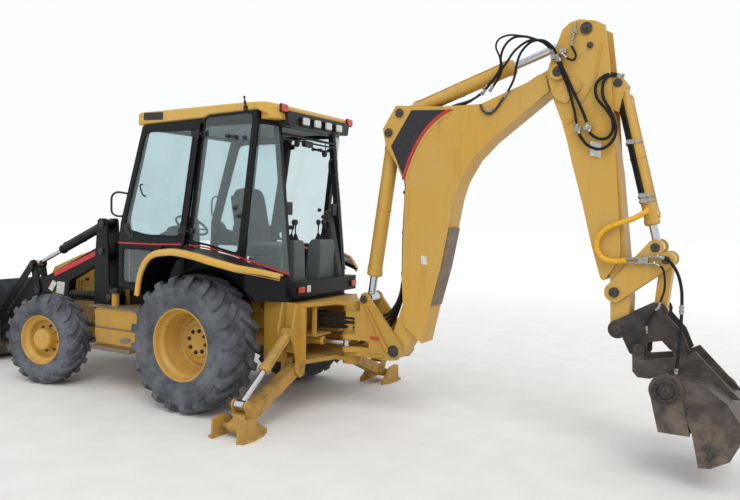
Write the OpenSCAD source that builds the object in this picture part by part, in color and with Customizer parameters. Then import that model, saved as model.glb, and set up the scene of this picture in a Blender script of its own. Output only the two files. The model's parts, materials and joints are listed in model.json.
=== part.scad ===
// Backhoe loader, full size, in millimetres.
// X points to the front, Y to the left and Z up. Places are measured from the ground under the
// middle of the rear axle, and machine() moves them so that the origin is under the whole machine.

/* [Wheels] */
// Distance between the axles
wheelbase = 2100; // [2060:10:2200]
// Rear tyre radius out to the lugs' tips
rear_tyre_r = 655; // [640:5:670]
// Rear tyre width
rear_tyre_w = 480; // [440:10:490]
// Rear rim flange radius
rear_rim_r = 345; // [320:5:360]
// Distance between the middles of the rear tyres
rear_track = 1720; // [1700:10:1760]
// Front tyre radius out to the lugs' tips
front_tyre_r = 485; // [470:5:495]
// Front tyre width
front_tyre_w = 320; // [290:10:330]
// Front rim flange radius
front_rim_r = 264; // [250:2:275]
// Distance between the middles of the front tyres
front_track = 1860; // [1840:10:1900]
// Front tyre middle to kingpin axis
kingpin_offset = 140; // [130:5:150]
// Angle to which the front wheels are steered at rest
steer_rest = 9; // [0:1:15]

/* [Chassis] */
// Thickness of a main frame rail
rail_t = 70; // [50:5:80]
// Outer half width over the rails
rail_y = 410; // [390:5:420]
// Half width of the rear frame that carries the digging arm
rear_frame_y = 500; // [480:10:520]
// Distance from the rear axle back to the swing hinge
hinge_overhang = 1260; // [1250:5:1290]
// Half width of the hood
hood_y = 400; // [370:10:405]
// Thickness of the hood's panels
hood_t = 20; // [10:2:30]

/* [Cab] */
// Half width of the cab over its posts
cab_y = 700; // [690:5:705]
// Half width of the rear window frame
rear_window_y = 495; // [470:5:520]
// Depth of a cab post
post_d = 50; // [40:5:60]
// Width of a cab post
post_w = 56; // [46:2:66]
// Thickness of the glass
glass_t = 6; // [4:1:10]
// Thickness of a door
door_t = 34; // [28:2:40]
// Height of the roof panel
roof_h = 130; // [110:5:140]

/* [Loader] */
// Distance from the middle plane to the middle of a loader arm
arm_y = 620; // [615:5:625]
// Width of a loader arm
arm_w = 90; // [80:5:100]
// Width of the loader bucket
loader_bucket_w = 2350; // [2250:10:2400]
// Thickness of the lever and lug plates
lever_t = 14; // [10:1:16]

/* [Digging arm] */
// Width of the boom
boom_w = 240; // [220:5:240]
// Width over the stick's side plates
stick_w = 300; // [296:2:310]
// Thickness of the stick's side plates
stick_plate = 24; // [18:1:24]
// Width of the sliding stick extension
extension_w = 236; // [220:2:236]
// Width of the digging bucket
dig_bucket_w = 900; // [760:10:960]
// Thickness of bucket plates
bucket_plate = 20; // [14:1:26]

/* [Cylinders and pins] */
// Radius of the main pins
pin_r = 30; // [25:1:34]
// Radial clearance of a pin or rod in its bore
fit = 0.05; // [0.02:0.01:0.1]
// Clearance between pieces that move past each other
gap = 6; // [5:0.5:8]
// Clearance at a seat between two bodies
seat_gap = 0.3; // [0.2:0.1:0.5]

/* [Hidden] */
$fn = 64;
// Place of the rear axle in the finished part
rear_axle_x = 215;

// Colours
yellow = [0.86, 0.62, 0.12];
dark = [0.09, 0.09, 0.1];
steel = [0.45, 0.44, 0.43];
rubber = [0.2, 0.2, 0.2];
chrome = [0.8, 0.8, 0.82];
glass = [0.6, 0.75, 0.75, 0.4];

// Pins in the plane of the loader arms, as [x, z]
arm_pin = [1504, 1459];
tilt_base = [1496, 1760];
lift_base = [1380, 970];
lift_eye = [2174, 937];
lever_pin = [2640, 960];
lever_top = [2700, 1256];
loader_pin = [3420, 300];
loader_top = [3372, 556];

// Hinge of the digging arm, and the place of the hinge for which the arm is drawn
swing_x = -hinge_overhang;
drawn_hinge = -1260;

// Pins in the plane of the digging arm, as [x, z]
boom_foot = [-1780, 660];
boom_rod_eye = [-1460, 1120];
boom_base = [-1678, 2674];
stick_base = [-1785, 2848];
stick_pin = [-3228, 3100];
stick_rod_eye = [-3442, 3422];
bucket_base = [-3690, 2985];
bucket_rod_eye = [-4015, 1717];
link_pin = [-3728, 1354];
link_far = [-4095, 1625];
tip_pin = [-3762, 1066];
coupler_pin = [-4058, 1230];
ring_pin = [-4172, 706];

// Pins of a stabilizer in its own plane, as [y, z]
leg_x = -888;
leg_pin = [452, 441];
leg_top = [545, 800];
leg_eye = [1215, 262];
pad_pin = [1290, 88];

// Swing cylinders, as [x, y] at their own height
swing_z = 690;
swing_base = [-640, 230];
swing_ear = [-1288, 158];

// Moves a piece from the rear axle's frame to the part's frame
module machine() {
  translate([rear_axle_x, 0, 0]) children();
}

// Moves a piece of the digging arm, which follows its hinge
module on_hinge() {
  machine() translate([swing_x - drawn_hinge, 0, 0]) children();
}

// Draws its children on the left and again on the right
module both_sides() {
  children();
  mirror([0, 1, 0]) children();
}

// Extrudes an outline drawn in X and Z from y = low over a width
module plate(low, width) {
  translate([0, low + width, 0])
    rotate([90, 0, 0])
      linear_extrude(width) children();
}

// Extrudes an outline drawn in Y and Z from x = low over a width
module rib(low, width) {
  translate([low, 0, 0])
    rotate([90, 0, 90])
      linear_extrude(width) children();
}

// Round bar along Y at a place [x, z]
module pin_y(at, r, low, width) {
  translate([at[0], low + width, at[1]])
    rotate([90, 0, 0]) cylinder(r = r, h = width);
}

// Round bar along X at a place [y, z]
module pin_x(at, r, low, width) {
  translate([low, at[0], at[1]])
    rotate([0, 90, 0]) cylinder(r = r, h = width);
}

function distance(a, b) = norm(b - a);
function bearing(a, b) = atan2(b[1] - a[1], b[0] - a[0]);
function along(a, b, d) = a + (b - a) / norm(b - a) * d;

// Puts children drawn along +Z onto the line from a to b in the plane y
module aim_xz(a, b, y) {
  translate([a[0], y, a[1]])
    rotate([0, 90 - bearing(a, b), 0]) children();
}

// Outline of a bar with round ends between two places
module bar(a, b, r_a, r_b) {
  d = distance(a, b);
  shy = 0.97;
  translate(a) rotate(bearing(a, b)) {
    circle(r = r_a);
    translate([d, 0]) circle(r = r_b);
    polygon([[0, r_a * shy], [d, r_b * shy], [d, -r_b * shy], [0, -r_a * shy]]);
  }
}

// Barrel of a cylinder along +Z, with its base eye at the origin and its pin along Y
module barrel(length, r, rod_r, eye_w, eye_r) {
  difference() {
    union() {
      rotate([90, 0, 0]) cylinder(r = eye_r, h = eye_w, center = true);
      translate([-eye_r * 0.6, -eye_w / 2, 0]) cube([eye_r * 1.2, eye_w, eye_r + r * 0.5]);
      translate([0, 0, eye_r]) cylinder(r = r, h = length - eye_r);
      translate([0, 0, length - r * 0.7]) cylinder(r = r * 1.1, h = r * 0.7);
    }
    rotate([90, 0, 0]) cylinder(r = pin_r + fit, h = eye_w + 2, center = true);
    translate([0, 0, eye_r + 8]) cylinder(r = rod_r + fit, h = length);
  }
}

// Rod of a cylinder along +Z, drawn from its tail at `start` to its eye at `reach`
module rod(start, reach, rod_r, eye_w, eye_r) {
  difference() {
    union() {
      translate([0, 0, start]) cylinder(r = rod_r, h = reach - start - eye_r * 0.5);
      translate([0, 0, reach]) rotate([90, 0, 0]) cylinder(r = eye_r, h = eye_w, center = true);
    }
    translate([0, 0, reach]) rotate([90, 0, 0]) cylinder(r = pin_r + fit, h = eye_w + 2, center = true);
  }
}

// Main frame with rails, front block, axle saddle and side tanks
rail_low = 600;
rail_high = 840;
frame_front = 2720;
frame_rear = -560;
block_t = 90;
tank_y = 800;
tie_down = [frame_front + block_t / 2, 520];
tie_down_r = 30;
// Half of the gap between a tower's plates, and the outside of the tower
tower_half = 62;
tower_plate = 22;
tower_outer = arm_y + tower_half + tower_plate;
rear_deck = 1075;

module main_frame() color(yellow) machine() {
  both_sides() {
    plate(rail_y - rail_t, rail_t)
      polygon([[frame_rear, 780], [frame_rear, 980], [600, 980], [800, rail_high], [frame_front, rail_high],
               [frame_front, rail_low], [800, rail_low], [600, 780]]);
    side_tank();
    // Mounts under the cab
    for (x = [-420, 460])
      translate([x, rail_y - rail_t, 980]) cube([90, rail_t, rear_deck - 980]);
  }
  // Cross members, as [x, low, high]
  for (m = [[-400, 800, 960], [250, 800, 960], [1250, 640, 800], [1700, 620, engine_low], [2280, 620, engine_low]])
    translate([m[0], rail_t - rail_y, m[1]]) cube([80, 2 * (rail_y - rail_t), m[2] - m[1]]);
  // Saddle over the front axle
  translate([wheelbase - 110, rail_t - rail_y, rail_low]) cube([220, 2 * (rail_y - rail_t), 90]);
  // Weight block ahead of the rails, with the tie-down hole across it
  difference() {
    translate([frame_front - 10, -rail_y, 450]) cube([block_t + 10, 2 * rail_y, rail_high - 450]);
    pin_y(tie_down, tie_down_r, -rail_y - 1, 2 * rail_y + 2);
  }
}

// Tank and step, cut out around the tower's foot
module side_tank() {
  difference() {
    plate(rail_y, tank_y - rail_y)
      polygon([[870, 470], [840, 560], [850, 840], [900, 870], [1440, 870], [1500, 840],
               [1480, 640], [1455, 470]]);
    translate([1300, rail_y - 1, 690]) cube([250, tower_outer - rail_y + 1, 200]);
  }
  plate(rail_y, tank_y - rail_y + 60) polygon([[900, 430], [880, 470], [1460, 470], [1480, 430]]);
  translate([1240, tank_y - 60, 860]) cylinder(r = 38, h = 170);
  translate([1240, tank_y - 60, 1030]) cylinder(r = 52, h = 40);
}

// Rear frame: side walls, decks, stabilizer ribs, the swing hinge's lugs and the swing cylinders' lugs
rear_floor = 500;
deck_t = 40;
wall_t = 24;
hinge_r = 95;
hinge_pin_r = 45;
lower_lug = [470, 560];
upper_lug = [1005, 1085];
leg_w = 120;
swing_eye_w = 56;

module rear_frame() color(yellow) machine() {
  wall_h = rear_deck - rear_floor - 2 * deck_t;
  difference() {
    union() {
      // Upper and lower decks reach back to the hinge
      for (z = [rear_deck - deck_t, rear_floor])
        translate([0, 0, z]) linear_extrude(deck_t) hinge_deck();
      both_sides() {
        translate([-1040, rear_frame_y - wall_t, rear_floor + deck_t])
          cube([1040 + frame_rear, wall_t, wall_h]);
        // Ribs that hold the stabilizer
        for (x = [leg_x - leg_w / 2 - gap - wall_t, leg_x + leg_w / 2 + gap]) rib(x, wall_t) stabilizer_rib();
      }
      // Front wall on the rails
      translate([frame_rear - wall_t, wall_t - rear_frame_y, rear_floor + deck_t])
        cube([wall_t, 2 * (rear_frame_y - wall_t), wall_h]);
      for (lug = [lower_lug, upper_lug])
        translate([swing_x, 0, lug[0]]) cylinder(r = hinge_r, h = lug[1] - lug[0]);
      both_sides() swing_lugs();
    }
    for (lug = [lower_lug, upper_lug])
      translate([swing_x, 0, lug[0] - 1]) cylinder(r = hinge_pin_r + fit, h = lug[1] - lug[0] + 2);
    // Room for the raised legs
    for (y = [-rear_frame_y - 2, rear_frame_y - 110])
      translate([leg_x - leg_w / 2 - gap, y, rear_floor - 1]) cube([leg_w + 2 * gap, 112, 100]);
  }
  // Pins of the legs and their cylinders
  both_sides()
    for (at = [leg_pin, leg_top])
      pin_x(at, pin_r, leg_x - leg_w / 2 - gap - wall_t - 8, leg_w + 2 * (gap + wall_t + 8));
}

// Lugs and pin for the base of a swing cylinder
module swing_lugs() {
  lug_t = 20;
  for (z = [swing_z - swing_eye_w / 2 - gap - lug_t, swing_z + swing_eye_w / 2 + gap])
    translate([swing_base[0] - 34, swing_base[1] - 40, z])
      cube([frame_rear - wall_t - swing_base[0] + 34, 80, lug_t]);
  translate([swing_base[0], swing_base[1], swing_z - swing_eye_w / 2 - gap - lug_t - 8])
    cylinder(r = pin_r, h = swing_eye_w + 2 * (gap + lug_t + 8));
}

module hinge_deck() {
  neck = 96;
  polygon([[frame_rear, rear_frame_y], [-1000, rear_frame_y], [-1128, neck], [swing_x, neck], [swing_x, -neck],
           [-1128, -neck], [-1000, -rear_frame_y], [frame_rear, -rear_frame_y]]);
}

module stabilizer_rib() {
  polygon([[rear_frame_y, rear_deck], [rear_frame_y + 40, rear_deck], [610, 840], [600, 740],
           [rear_frame_y + 30, 560], [540, 430], [470, 370], [410, 390], [390, rear_floor],
           [rear_frame_y, rear_floor]]);
}

// Engine as one plain block on two cross members
engine_low = 700;

module engine() color(steel) machine()
  translate([1560, -240, engine_low]) cube([820, 480, 520]);

// Hood with sloping top, open below, slotted nose and exhaust
hood_profile = [[1430, rail_high], [1430, 1560], [1700, 1530], [2250, 1370], [2700, 1210], [2740, 1150],
                [2740, rail_high]];
hood_hollow = [[1430, rail_high - 1], [1430, 1540], [1695, 1510], [2245, 1350], [2690, 1194], [2718, 1140],
               [2718, rail_high - 1]];

module hood() color(yellow) machine() {
  difference() {
    plate(-hood_y, 2 * hood_y) polygon(hood_profile);
    plate(-hood_y + hood_t, 2 * (hood_y - hood_t)) polygon(hood_hollow);
    // Slots of the grille
    for (i = [0:8])
      translate([2700, -300, 890 + i * 27]) cube([60, 600, 14]);
    // Louvres in both side panels
    for (i = [0:7])
      translate([2200 + i * 50, -hood_y - 1, 900]) cube([24, 2 * hood_y + 2, 180]);
  }
  translate([2150, -220, 1388]) cylinder(r = 45, h = 420);
}

// Loader towers beside the hood
module loader_towers() color(dark) machine() both_sides() {
  inner = arm_y - tower_half - tower_plate;
  for (y = [inner, arm_y + tower_half])
    plate(y, tower_plate)
      polygon([[1330, 700], [1620, 700], [1620, 1180], [1600, 1480], [1570, 1790], [1540, 1815],
               [1450, 1815], [1430, 1790], [1405, 1480], [1390, 1080], [1325, 1020], [1315, 940]]);
  // Bracket from the rail and foot between the plates
  translate([1480, rail_y, 700]) cube([140, inner - rail_y, 140]);
  translate([1480, arm_y - tower_half, 700]) cube([140, 2 * tower_half, 120]);
  for (at = [arm_pin, tilt_base, lift_base])
    pin_y(at, pin_r, inner - 10, 2 * (tower_half + tower_plate + 10));
}

// Rear axle under the rails and front axle with kingpin yokes
axle_z = rear_tyre_r;
front_z = front_tyre_r;
kingpin_y = front_track / 2 - kingpin_offset;
rear_hub_y = 600;
spindle_r = 60;
spindle_l = 60;
front_spindle_r = 40;
hub_back = 60;

module axles() color(yellow) machine() {
  // Rear axle
  pin_y([0, axle_z], 95, -rear_hub_y, 2 * rear_hub_y);
  pin_y([0, axle_z], spindle_r, -rear_hub_y - spindle_l, 2 * (rear_hub_y + spindle_l));
  pin_y([0, axle_z], 180, -160, 320);
  both_sides() translate([-110, rail_y - rail_t, axle_z + 60]) cube([220, rail_t, 780 - axle_z - 60]);
  // Front axle
  translate([wheelbase - 55, -kingpin_y + 90, front_z - 55]) cube([110, 2 * kingpin_y - 180, 110]);
  pin_y([wheelbase, front_z], 105, 40, 220);
  translate([wheelbase - 60, -130, front_z + 55]) cube([120, 260, rail_low - front_z - 55]);
  both_sides() {
    translate([wheelbase - 55, kingpin_y - 130, front_z - 125]) cube([110, 50, 250]);
    for (z = [front_z - 125, front_z + 95])
      translate([wheelbase, kingpin_y, z]) {
        cylinder(r = 50, h = 30);
        translate([-50, -130, 0]) cube([100, 130, 30]);
      }
  }
}

// Steering knuckle on the kingpin with its spindle
module knuckle(side) color(yellow) machine()
  translate([wheelbase, side * kingpin_y, front_z])
    rotate([0, 0, steer_rest])
      mirror([0, side < 0 ? 1 : 0, 0]) {
        translate([0, 0, -94.7]) cylinder(r = 52, h = 189.4);
        pin_y([0, 0], 90, 15, hub_back - 15);
        pin_y([0, 0], front_spindle_r, 0, kingpin_offset);
      }

// Wheel frame: origin at the wheel's middle, +Y outwards
module rear_wheel(side) machine()
  translate([0, side * rear_track / 2, axle_z])
    mirror([0, side < 0 ? 1 : 0, 0]) children();

module front_wheel(side) machine()
  translate([wheelbase, side * kingpin_y, front_z])
    rotate([0, 0, steer_rest])
      mirror([0, side < 0 ? 1 : 0, 0])
        translate([0, kingpin_offset, 0]) children();

// Turns an outline drawn as [radius, distance outwards] about the wheel's axis
tyre_facets = 28;

module turned(facets = 96) {
  rotate([-90, 0, 0]) rotate_extrude($fn = facets) children();
}

// Tyre with a carcass and two rows of slanted lugs, cut to the tread's outline
lug_h = 32;
lug_slant = 36;

module tyre(r, w, rim_r, lugs) {
  turned(tyre_facets) tyre_outline(r - lug_h, w - lug_h, rim_r);
  intersection() {
    turned(tyre_facets) tyre_outline(r, w, rim_r);
    for (i = [0:2 * lugs - 1])
      rotate([0, i * 180 / lugs, 0])
        mirror([0, i % 2, 0])
          translate([0, 0, (r + rim_r) / 2]) linear_extrude(r) lug(2 * PI * r / lugs, w / 2);
  }
}

// Lug seen from outside, from the middle of the tread back to the shoulder
module lug(pitch, half_w) {
  run = half_w * tan(lug_slant);
  thick = pitch * 0.21;
  polygon([[-thick, 0], [thick, 0], [thick - run, half_w], [-run - thick * 1.3, half_w]]);
}

module tyre_outline(r, w, rim_r) {
  bead = rim_r - 22;
  side = [[bead, 0.37], [(r + rim_r) / 2, 0.5], [r - w * 0.12, 0.48], [r, 0.3]];
  polygon([for (p = side) [p[0], -p[1] * w], for (i = [3:-1:0]) [side[i][0], side[i][1] * w]]);
}

module rim(w, rim_r, hub_r, hub_out, bore_r, bore_in, bore_l) {
  bead = rim_r - 22.3;
  well = bead - 40;
  disc = w * 0.02;
  difference() {
    turned()
      polygon([[bead - 26, w * 0.40], [bead, w * 0.40], [bead, -w * 0.40], [bead - 26, -w * 0.40],
               [well - 14, -w * 0.24], [well - 14, disc - 8], [hub_r, disc - 30], [hub_r, bore_in],
               [0, bore_in], [0, hub_out], [hub_r * 0.82, hub_out], [hub_r, hub_out - 24],
               [hub_r, disc - 12], [well - 14, disc + 10], [well - 14, w * 0.22]]);
    pin_y([0, 0], bore_r + fit, bore_in - 1, bore_l + 1);
  }
}

module rear_rim(side) color(yellow) rear_wheel(side)
  rim(rear_tyre_w, rear_rim_r, 150, 60, spindle_r, rear_hub_y + seat_gap - rear_track / 2, spindle_l);
module front_rim(side) color(yellow) front_wheel(side)
  rim(front_tyre_w, front_rim_r, 105, 110, front_spindle_r, hub_back + seat_gap - kingpin_offset,
      kingpin_offset - hub_back);
module rear_tyre(side) color(rubber) rear_wheel(side) tyre(rear_tyre_r, rear_tyre_w, rear_rim_r, 10);
module front_tyre(side) color(rubber) front_wheel(side) tyre(front_tyre_r, front_tyre_w, front_rim_r, 9);

module tyre_front_left() front_tyre(1);
module tyre_front_right() front_tyre(-1);
module tyre_rear_left() rear_tyre(1);
module tyre_rear_right() rear_tyre(-1);
module rim_front_left() front_rim(1);
module rim_front_right() front_rim(-1);
module rim_rear_left() rear_rim(1);
module rim_rear_right() rear_rim(-1);
module knuckle_left() knuckle(1);
module knuckle_right() knuckle(-1);

// Cab base: floor, walls below the windows, rear fenders and bumper
cab_floor = 1100;
fender_y = 1090;

module cab_plan(inset) {
  polygon([[1190, cab_y - inset], [-480, cab_y - inset], [-850, rear_window_y - inset],
           [-850, inset - rear_window_y], [-480, inset - cab_y], [1190, inset - cab_y]]);
}

sill_outline = [[1190, cab_floor - 40], [1190, 1560], [240, 1560], [0, 1540], [-420, 1450], [-860, 1300],
                [-860, cab_floor - 40]];

module cab_base() color(dark) machine() {
  // Floor on the rear deck and the mounts
  difference() {
    translate([0, 0, rear_deck]) linear_extrude(cab_floor - rear_deck) cab_plan(0);
    both_sides() pin_y([0, axle_z], well_r, well_y, cab_y);
  }
  difference() {
    // Walls under the sills
    intersection() {
      translate([0, 0, cab_floor]) linear_extrude(500) cab_plan(0);
      plate(-cab_y, 2 * cab_y) polygon(sill_outline);
    }
    translate([0, 0, cab_floor - 1]) linear_extrude(502) cab_plan(post_d);
    both_sides() pin_y([0, axle_z], well_r, well_y, cab_y);
    // Doorways
    translate([300, -cab_y - 1, cab_floor]) cube([840, 2 * cab_y + 2, 600]);
  }
  both_sides() wheel_well();
  // Rear bumper
  translate([-960, -rear_window_y - 45, 1130]) cube([110, 2 * (rear_window_y + 45), 145]);
  both_sides() fender();
}

// Inner arch over the rear tyre, under the cab's side
well_r = rear_tyre_r + 40;
well_y = rear_track / 2 - rear_tyre_w / 2 - 22;

module wheel_well() {
  intersection() {
    difference() {
      pin_y([0, axle_z], well_r + 16, well_y - 16, cab_y - well_y + 16);
      pin_y([0, axle_z], well_r, well_y, cab_y);
    }
    translate([-well_r - 20, 0, rear_deck]) cube([2 * well_r + 40, cab_y, 500]);
  }
}

module fender() {
  intersection() {
    plate(cab_y, fender_y - cab_y)
      polygon([[560, 1095], [520, 1290], [440, 1430], [330, 1510], [180, 1540], [0, 1545], [-320, 1500],
               [-700, 1405], [-970, 1315], [-970, 1275], [-690, 1365], [-320, 1460], [0, 1505], [170, 1500],
               [306, 1474], [408, 1402], [484, 1278], [526, 1095]]);
    translate([0, 0, 1000]) linear_extrude(600)
      polygon([[570, cab_y - 1], [570, fender_y], [-380, fender_y], [-620, 1000], [-970, 600],
               [-970, cab_y - 1]]);
  }
}

// Cab frame: posts, headers and rails
roof_z = 2785;
post_a = [[1185, 1500], [1180, 1774], [868, roof_z]];
post_b = [[253, 1500], [40, roof_z]];
post_c = [[-429, 1400], [-588, roof_z]];
post_rear = [[-856, 1240], [-690, roof_z]];
// Underside of the roof's side edges, which rises over the side windows, as [x, z] from the front
roof_edge = [[945, roof_z], [49, roof_z + 35], [-23, roof_z + 62], [-607, roof_z + 83], [-672, roof_z + 51],
             [-802, roof_z + 20]];

module cab_frame() color(dark) machine() difference() {
  union() {
    both_sides() {
      half = [post_w / 2, 0];
      post(post_a[0] - half, post_a[1] - half, cab_y - post_d);
      post(post_a[1] - half, post_a[2] - half, cab_y - post_d);
      post(post_b[0], post_b[1], cab_y - post_d);
      post(post_c[0], post_c[1], cab_y - post_d);
      post(post_rear[0] + half, post_rear[1] + half, rear_window_y - post_d);
      // Header over the side windows, up to the roof's edge
      plate(cab_y - post_d, post_d)
        polygon(concat([[post_c[1][0], roof_z - 50], [post_a[2][0], roof_z - 50], [post_a[2][0], roof_z]],
                       [for (i = [1:3]) roof_edge[i] - [0, seat_gap]]));
      translate([0, 0, roof_z - 50]) linear_extrude(129)
        polygon([[-588, cab_y], [-588, cab_y - post_d], [-613, cab_y - post_d]]);
      // Header over the corner window
      translate([0, 0, roof_z - 50]) linear_extrude(50)
        polygon([[-588, cab_y], [-560, cab_y - post_d], [-640, rear_window_y - post_d],
                 [-690, rear_window_y - post_d], [-690, rear_window_y]]);
    }
    // Front and rear headers
    translate([post_a[2][0] - 50, post_d - cab_y, roof_z - 50]) cube([50, 2 * (cab_y - post_d), 50]);
    translate([-690, post_d - rear_window_y, roof_z - 50]) cube([50, 2 * (rear_window_y - post_d), 50]);
  }
  // The posts stand on the sills
  plate(-cab_y - 1, 2 * cab_y + 2) polygon(sill_outline);
}

// Leaning post in the X-Z plane from low to high
module post(low, high, y) {
  half = [post_w / 2, 0];
  plate(y, post_d)
    polygon([low - half, low + half, high + half, high - half]);
}

// Roof panel with chamfered rear corners
module roof() color(yellow) machine() {
  difference() {
    intersection() {
      translate([0, 0, roof_z]) linear_extrude(roof_h + 30)
        polygon([[945, cab_y + 10], [-640, cab_y + 10], [-800, rear_window_y + 90],
                 [-800, -rear_window_y - 90], [-640, -cab_y - 10], [945, -cab_y - 10]]);
      plate(-cab_y - 10, 2 * cab_y + 20)
        polygon([[950, roof_z], [950, roof_z + roof_h - 20], [900, roof_z + roof_h], [-300, roof_z + roof_h + 24],
                 [-700, roof_z + roof_h + 24], [-800, roof_z + roof_h - 10], [-800, roof_z]]);
    }
    // Side edges rise over the windows
    both_sides()
      plate(cab_y - post_d, post_d + 20)
        polygon(concat([[960, roof_z - 1]], roof_edge, [[-802, roof_z - 1]]));
  }
}

// Fixed glass: middle side windows, corner windows and windscreen
module cab_glass() color(glass) machine() {
  both_sides() {
    plate(cab_y, glass_t)
      polygon([[214, 1600], [0, 1580], [-414, 1500], [-592, roof_z + 79], [-23, roof_z + 59], [34, roof_z + 35]]);
    ruled_pane([-482, cab_y - 2, 1452], [-630, cab_y - 2, roof_z - 52], [-850, rear_window_y + 5.6, 1330],
               [-700, rear_window_y + 5.6, roof_z - 52]);
  }
  windscreen();
}

// Pane ruled between two straight edges that lean apart
module ruled_pane(a_low, a_high, b_low, b_high) {
  n = 6;
  inwards = [0.5, -0.87, 0] * glass_t;
  rows = [for (i = [0:n]) let(s = i / n, a = a_low + (a_high - a_low) * s, b = b_low + (b_high - b_low) * s)
    each [a, b, b + inwards, a + inwards]];
  polyhedron(rows, concat(
    [[0, 1, 2], [0, 2, 3]],
    [for (i = [0:n - 1], k = [0:3]) let(p = 4 * i + k, q = 4 * i + (k + 1) % 4)
      each k == 2 ? [[p, p + 4, q], [p + 4, q + 4, q]] : [[p, p + 4, q + 4], [p, q + 4, q]]],
    [[4 * n, 4 * n + 2, 4 * n + 1], [4 * n, 4 * n + 3, 4 * n + 2]]));
}

module windscreen() {
  plate(post_d - cab_y, 2 * (cab_y - post_d))
    polygon([[1185, 1560], [1185, 1774], [884, roof_z - 50], [878, roof_z - 50], [1179, 1774], [1179, 1560]]);
}

// Doors hinged on the second post, with an upper and a lower pane
door_outline = [[268, 1590], [66, roof_z - 15], [852, roof_z - 15], [1172, 1780], [1200, 1600], [1200, 1100],
                [820, 1100], [690, 1400], [560, 1560], [300, 1575]];
door_window = [[322, 1650], [136, roof_z - 65], [818, roof_z - 65], [1118, 1790], [1090, 1700], [800, 1650]];
door_pane = [[860, 1145], [745, 1420], [690, 1520], [1155, 1520], [1155, 1145]];

// Hinge axis of a door from its low end, with the heights of the knuckles on it
door_hinge = [268, cab_y + 40, 1590];
door_lean = -9.71;
knuckles = [90, 1050];

module door() {
  plate(cab_y + 0.5, door_t)
    difference() {
      polygon(door_outline);
      polygon(door_window);
      polygon(door_pane);
    }
  for (z = knuckles)
    translate(door_hinge) rotate([0, door_lean, 0]) translate([0, 0, z]) cylinder(r = 14, h = 80);
}

module door_glass() {
  plate(cab_y + door_t / 2, glass_t) {
    polygon(door_window);
    polygon(door_pane);
  }
}

module door_left() color(dark) machine() door();
module door_right() color(dark) machine() mirror([0, 1, 0]) door();
module door_left_glass() color(glass) machine() door_glass();
module door_right_glass() color(glass) machine() mirror([0, 1, 0]) door_glass();

// Seat turned to the rear
seat_x = -230;

module seat() color([0.12, 0.12, 0.13]) machine() {
  translate([seat_x - 230, -240, 1480]) cube([460, 480, 110]);
  translate([seat_x + 190, 0, 1590]) rotate([0, 12, 0]) translate([-45, -230, 0]) cube([90, 460, 560]);
}

// Seat pedestal, steering column and wheel, rear lever consoles
module controls() color(dark) machine() {
  translate([seat_x - 180, -190, cab_floor]) cube([360, 380, 379.7]);
  translate([950, -140, cab_floor]) cube([180, 280, 560]);
  translate([940, 0, 1640]) rotate([0, -32, 0]) {
    cylinder(r = 30, h = 130);
    translate([0, 0, 120]) cylinder(r = 190, h = 26);
  }
  for (y = [-330, 170]) {
    translate([-780, y, cab_floor]) cube([150, 160, 520]);
    translate([-705, y + 80, 1620]) cylinder(r = 10, h = 180);
    translate([-705, y + 80, 1800]) sphere(r = 26);
  }
}

// Lamps: red roof and tail lamps, clear work lamps and headlamps
module lamps() color([0.8, 0.1, 0.1]) machine() {
  both_sides() {
    translate([-830, rear_window_y + 40, roof_z + 40]) cube([30, 90, 70]);
    translate([-984, 430, 1180]) cube([24, 90, 60]);
    translate([2740, 312, 1020]) cube([22, 72, 90]);
  }
  for (y = [-300, -110, 80, 270])
    translate([-860, y - 40, roof_z - 45.3]) cube([60, 110, 45]);
}

// Loader arms with the cross tube ahead of the weight block
arm_tube = [2882, 690];
arm_tip_r = 54;
lever_in = arm_w / 2 + gap;
link_in = lever_in + lever_t + gap;

module loader_arms() color(dark) machine() {
  both_sides() {
    difference() {
      union() {
        plate(arm_y - arm_w / 2, arm_w) arm_side();
        pin_y(arm_pin, 82, arm_y - tower_half + gap, 2 * (tower_half - gap));
      }
      for (at = [arm_pin, lever_pin, loader_pin]) pin_y(at, pin_r + fit, arm_y - tower_half, 2 * tower_half);
      // Room for the lift rod's eye between the knee plates
      plate(arm_y - 34, 68)
        polygon([[2020, 840], [2020, 1042], [2290, 1042], [2290, 840]]);
    }
  }
  pin_y(arm_tube, 60, arm_w / 2 - arm_y, 2 * arm_y - arm_w);
}

module arm_side() {
  translate(arm_pin) circle(r = 82);
  translate(loader_pin) circle(r = arm_tip_r);
  translate(lift_eye) circle(r = 66);
  translate(arm_tube) circle(r = 82);
  polygon([arm_pin + [14, 82], [2400, 1165], [2800, 1010], [3010, 838], loader_pin + [38, 36],
           loader_pin + [-37, -37], [2960, 690], [2820, 740], [2720, 880], [2290, 985], lift_eye + [66, 0],
           lift_eye + [-66, 0], [2084, 1102], arm_pin + [-12, -80]]);
}

lift_reach = distance(lift_base, lift_eye);
tilt_reach = distance(tilt_base, lever_top);

module lift_barrels() color(dark) machine() both_sides()
  aim_xz(lift_base, lift_eye, arm_y) barrel(lift_reach - 92, 48, 28, 2 * (tower_half - gap), 48);

module lift_rods() color(chrome) machine() both_sides()
  aim_xz(lift_base, lift_eye, arm_y) rod(80, lift_reach, 28, 60, 46);

module tilt_barrels() color(dark) machine() both_sides()
  aim_xz(tilt_base, lever_top, arm_y) barrel(820, 46, 26, 2 * (tower_half - gap), 46);

module tilt_rods() color(chrome) machine() both_sides()
  aim_xz(tilt_base, lever_top, arm_y) rod(560, tilt_reach, 26, arm_w - 2 * gap, 44);

// Levers on both sides of each arm, with a pin stub for the link outside each of them
module tilt_levers() color(dark) machine() both_sides() {
  for (y = [arm_y - lever_in - lever_t, arm_y + lever_in])
    plate(y, lever_t) bar(lever_pin, lever_top, 60, 52);
  for (y = [arm_y - link_in - lever_t - 6, arm_y + lever_in + lever_t])
    pin_y(lever_top, pin_r, y, link_in - lever_in + 6);
  pin_y(lever_pin, pin_r, arm_y - lever_in, 2 * lever_in);
}

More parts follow.
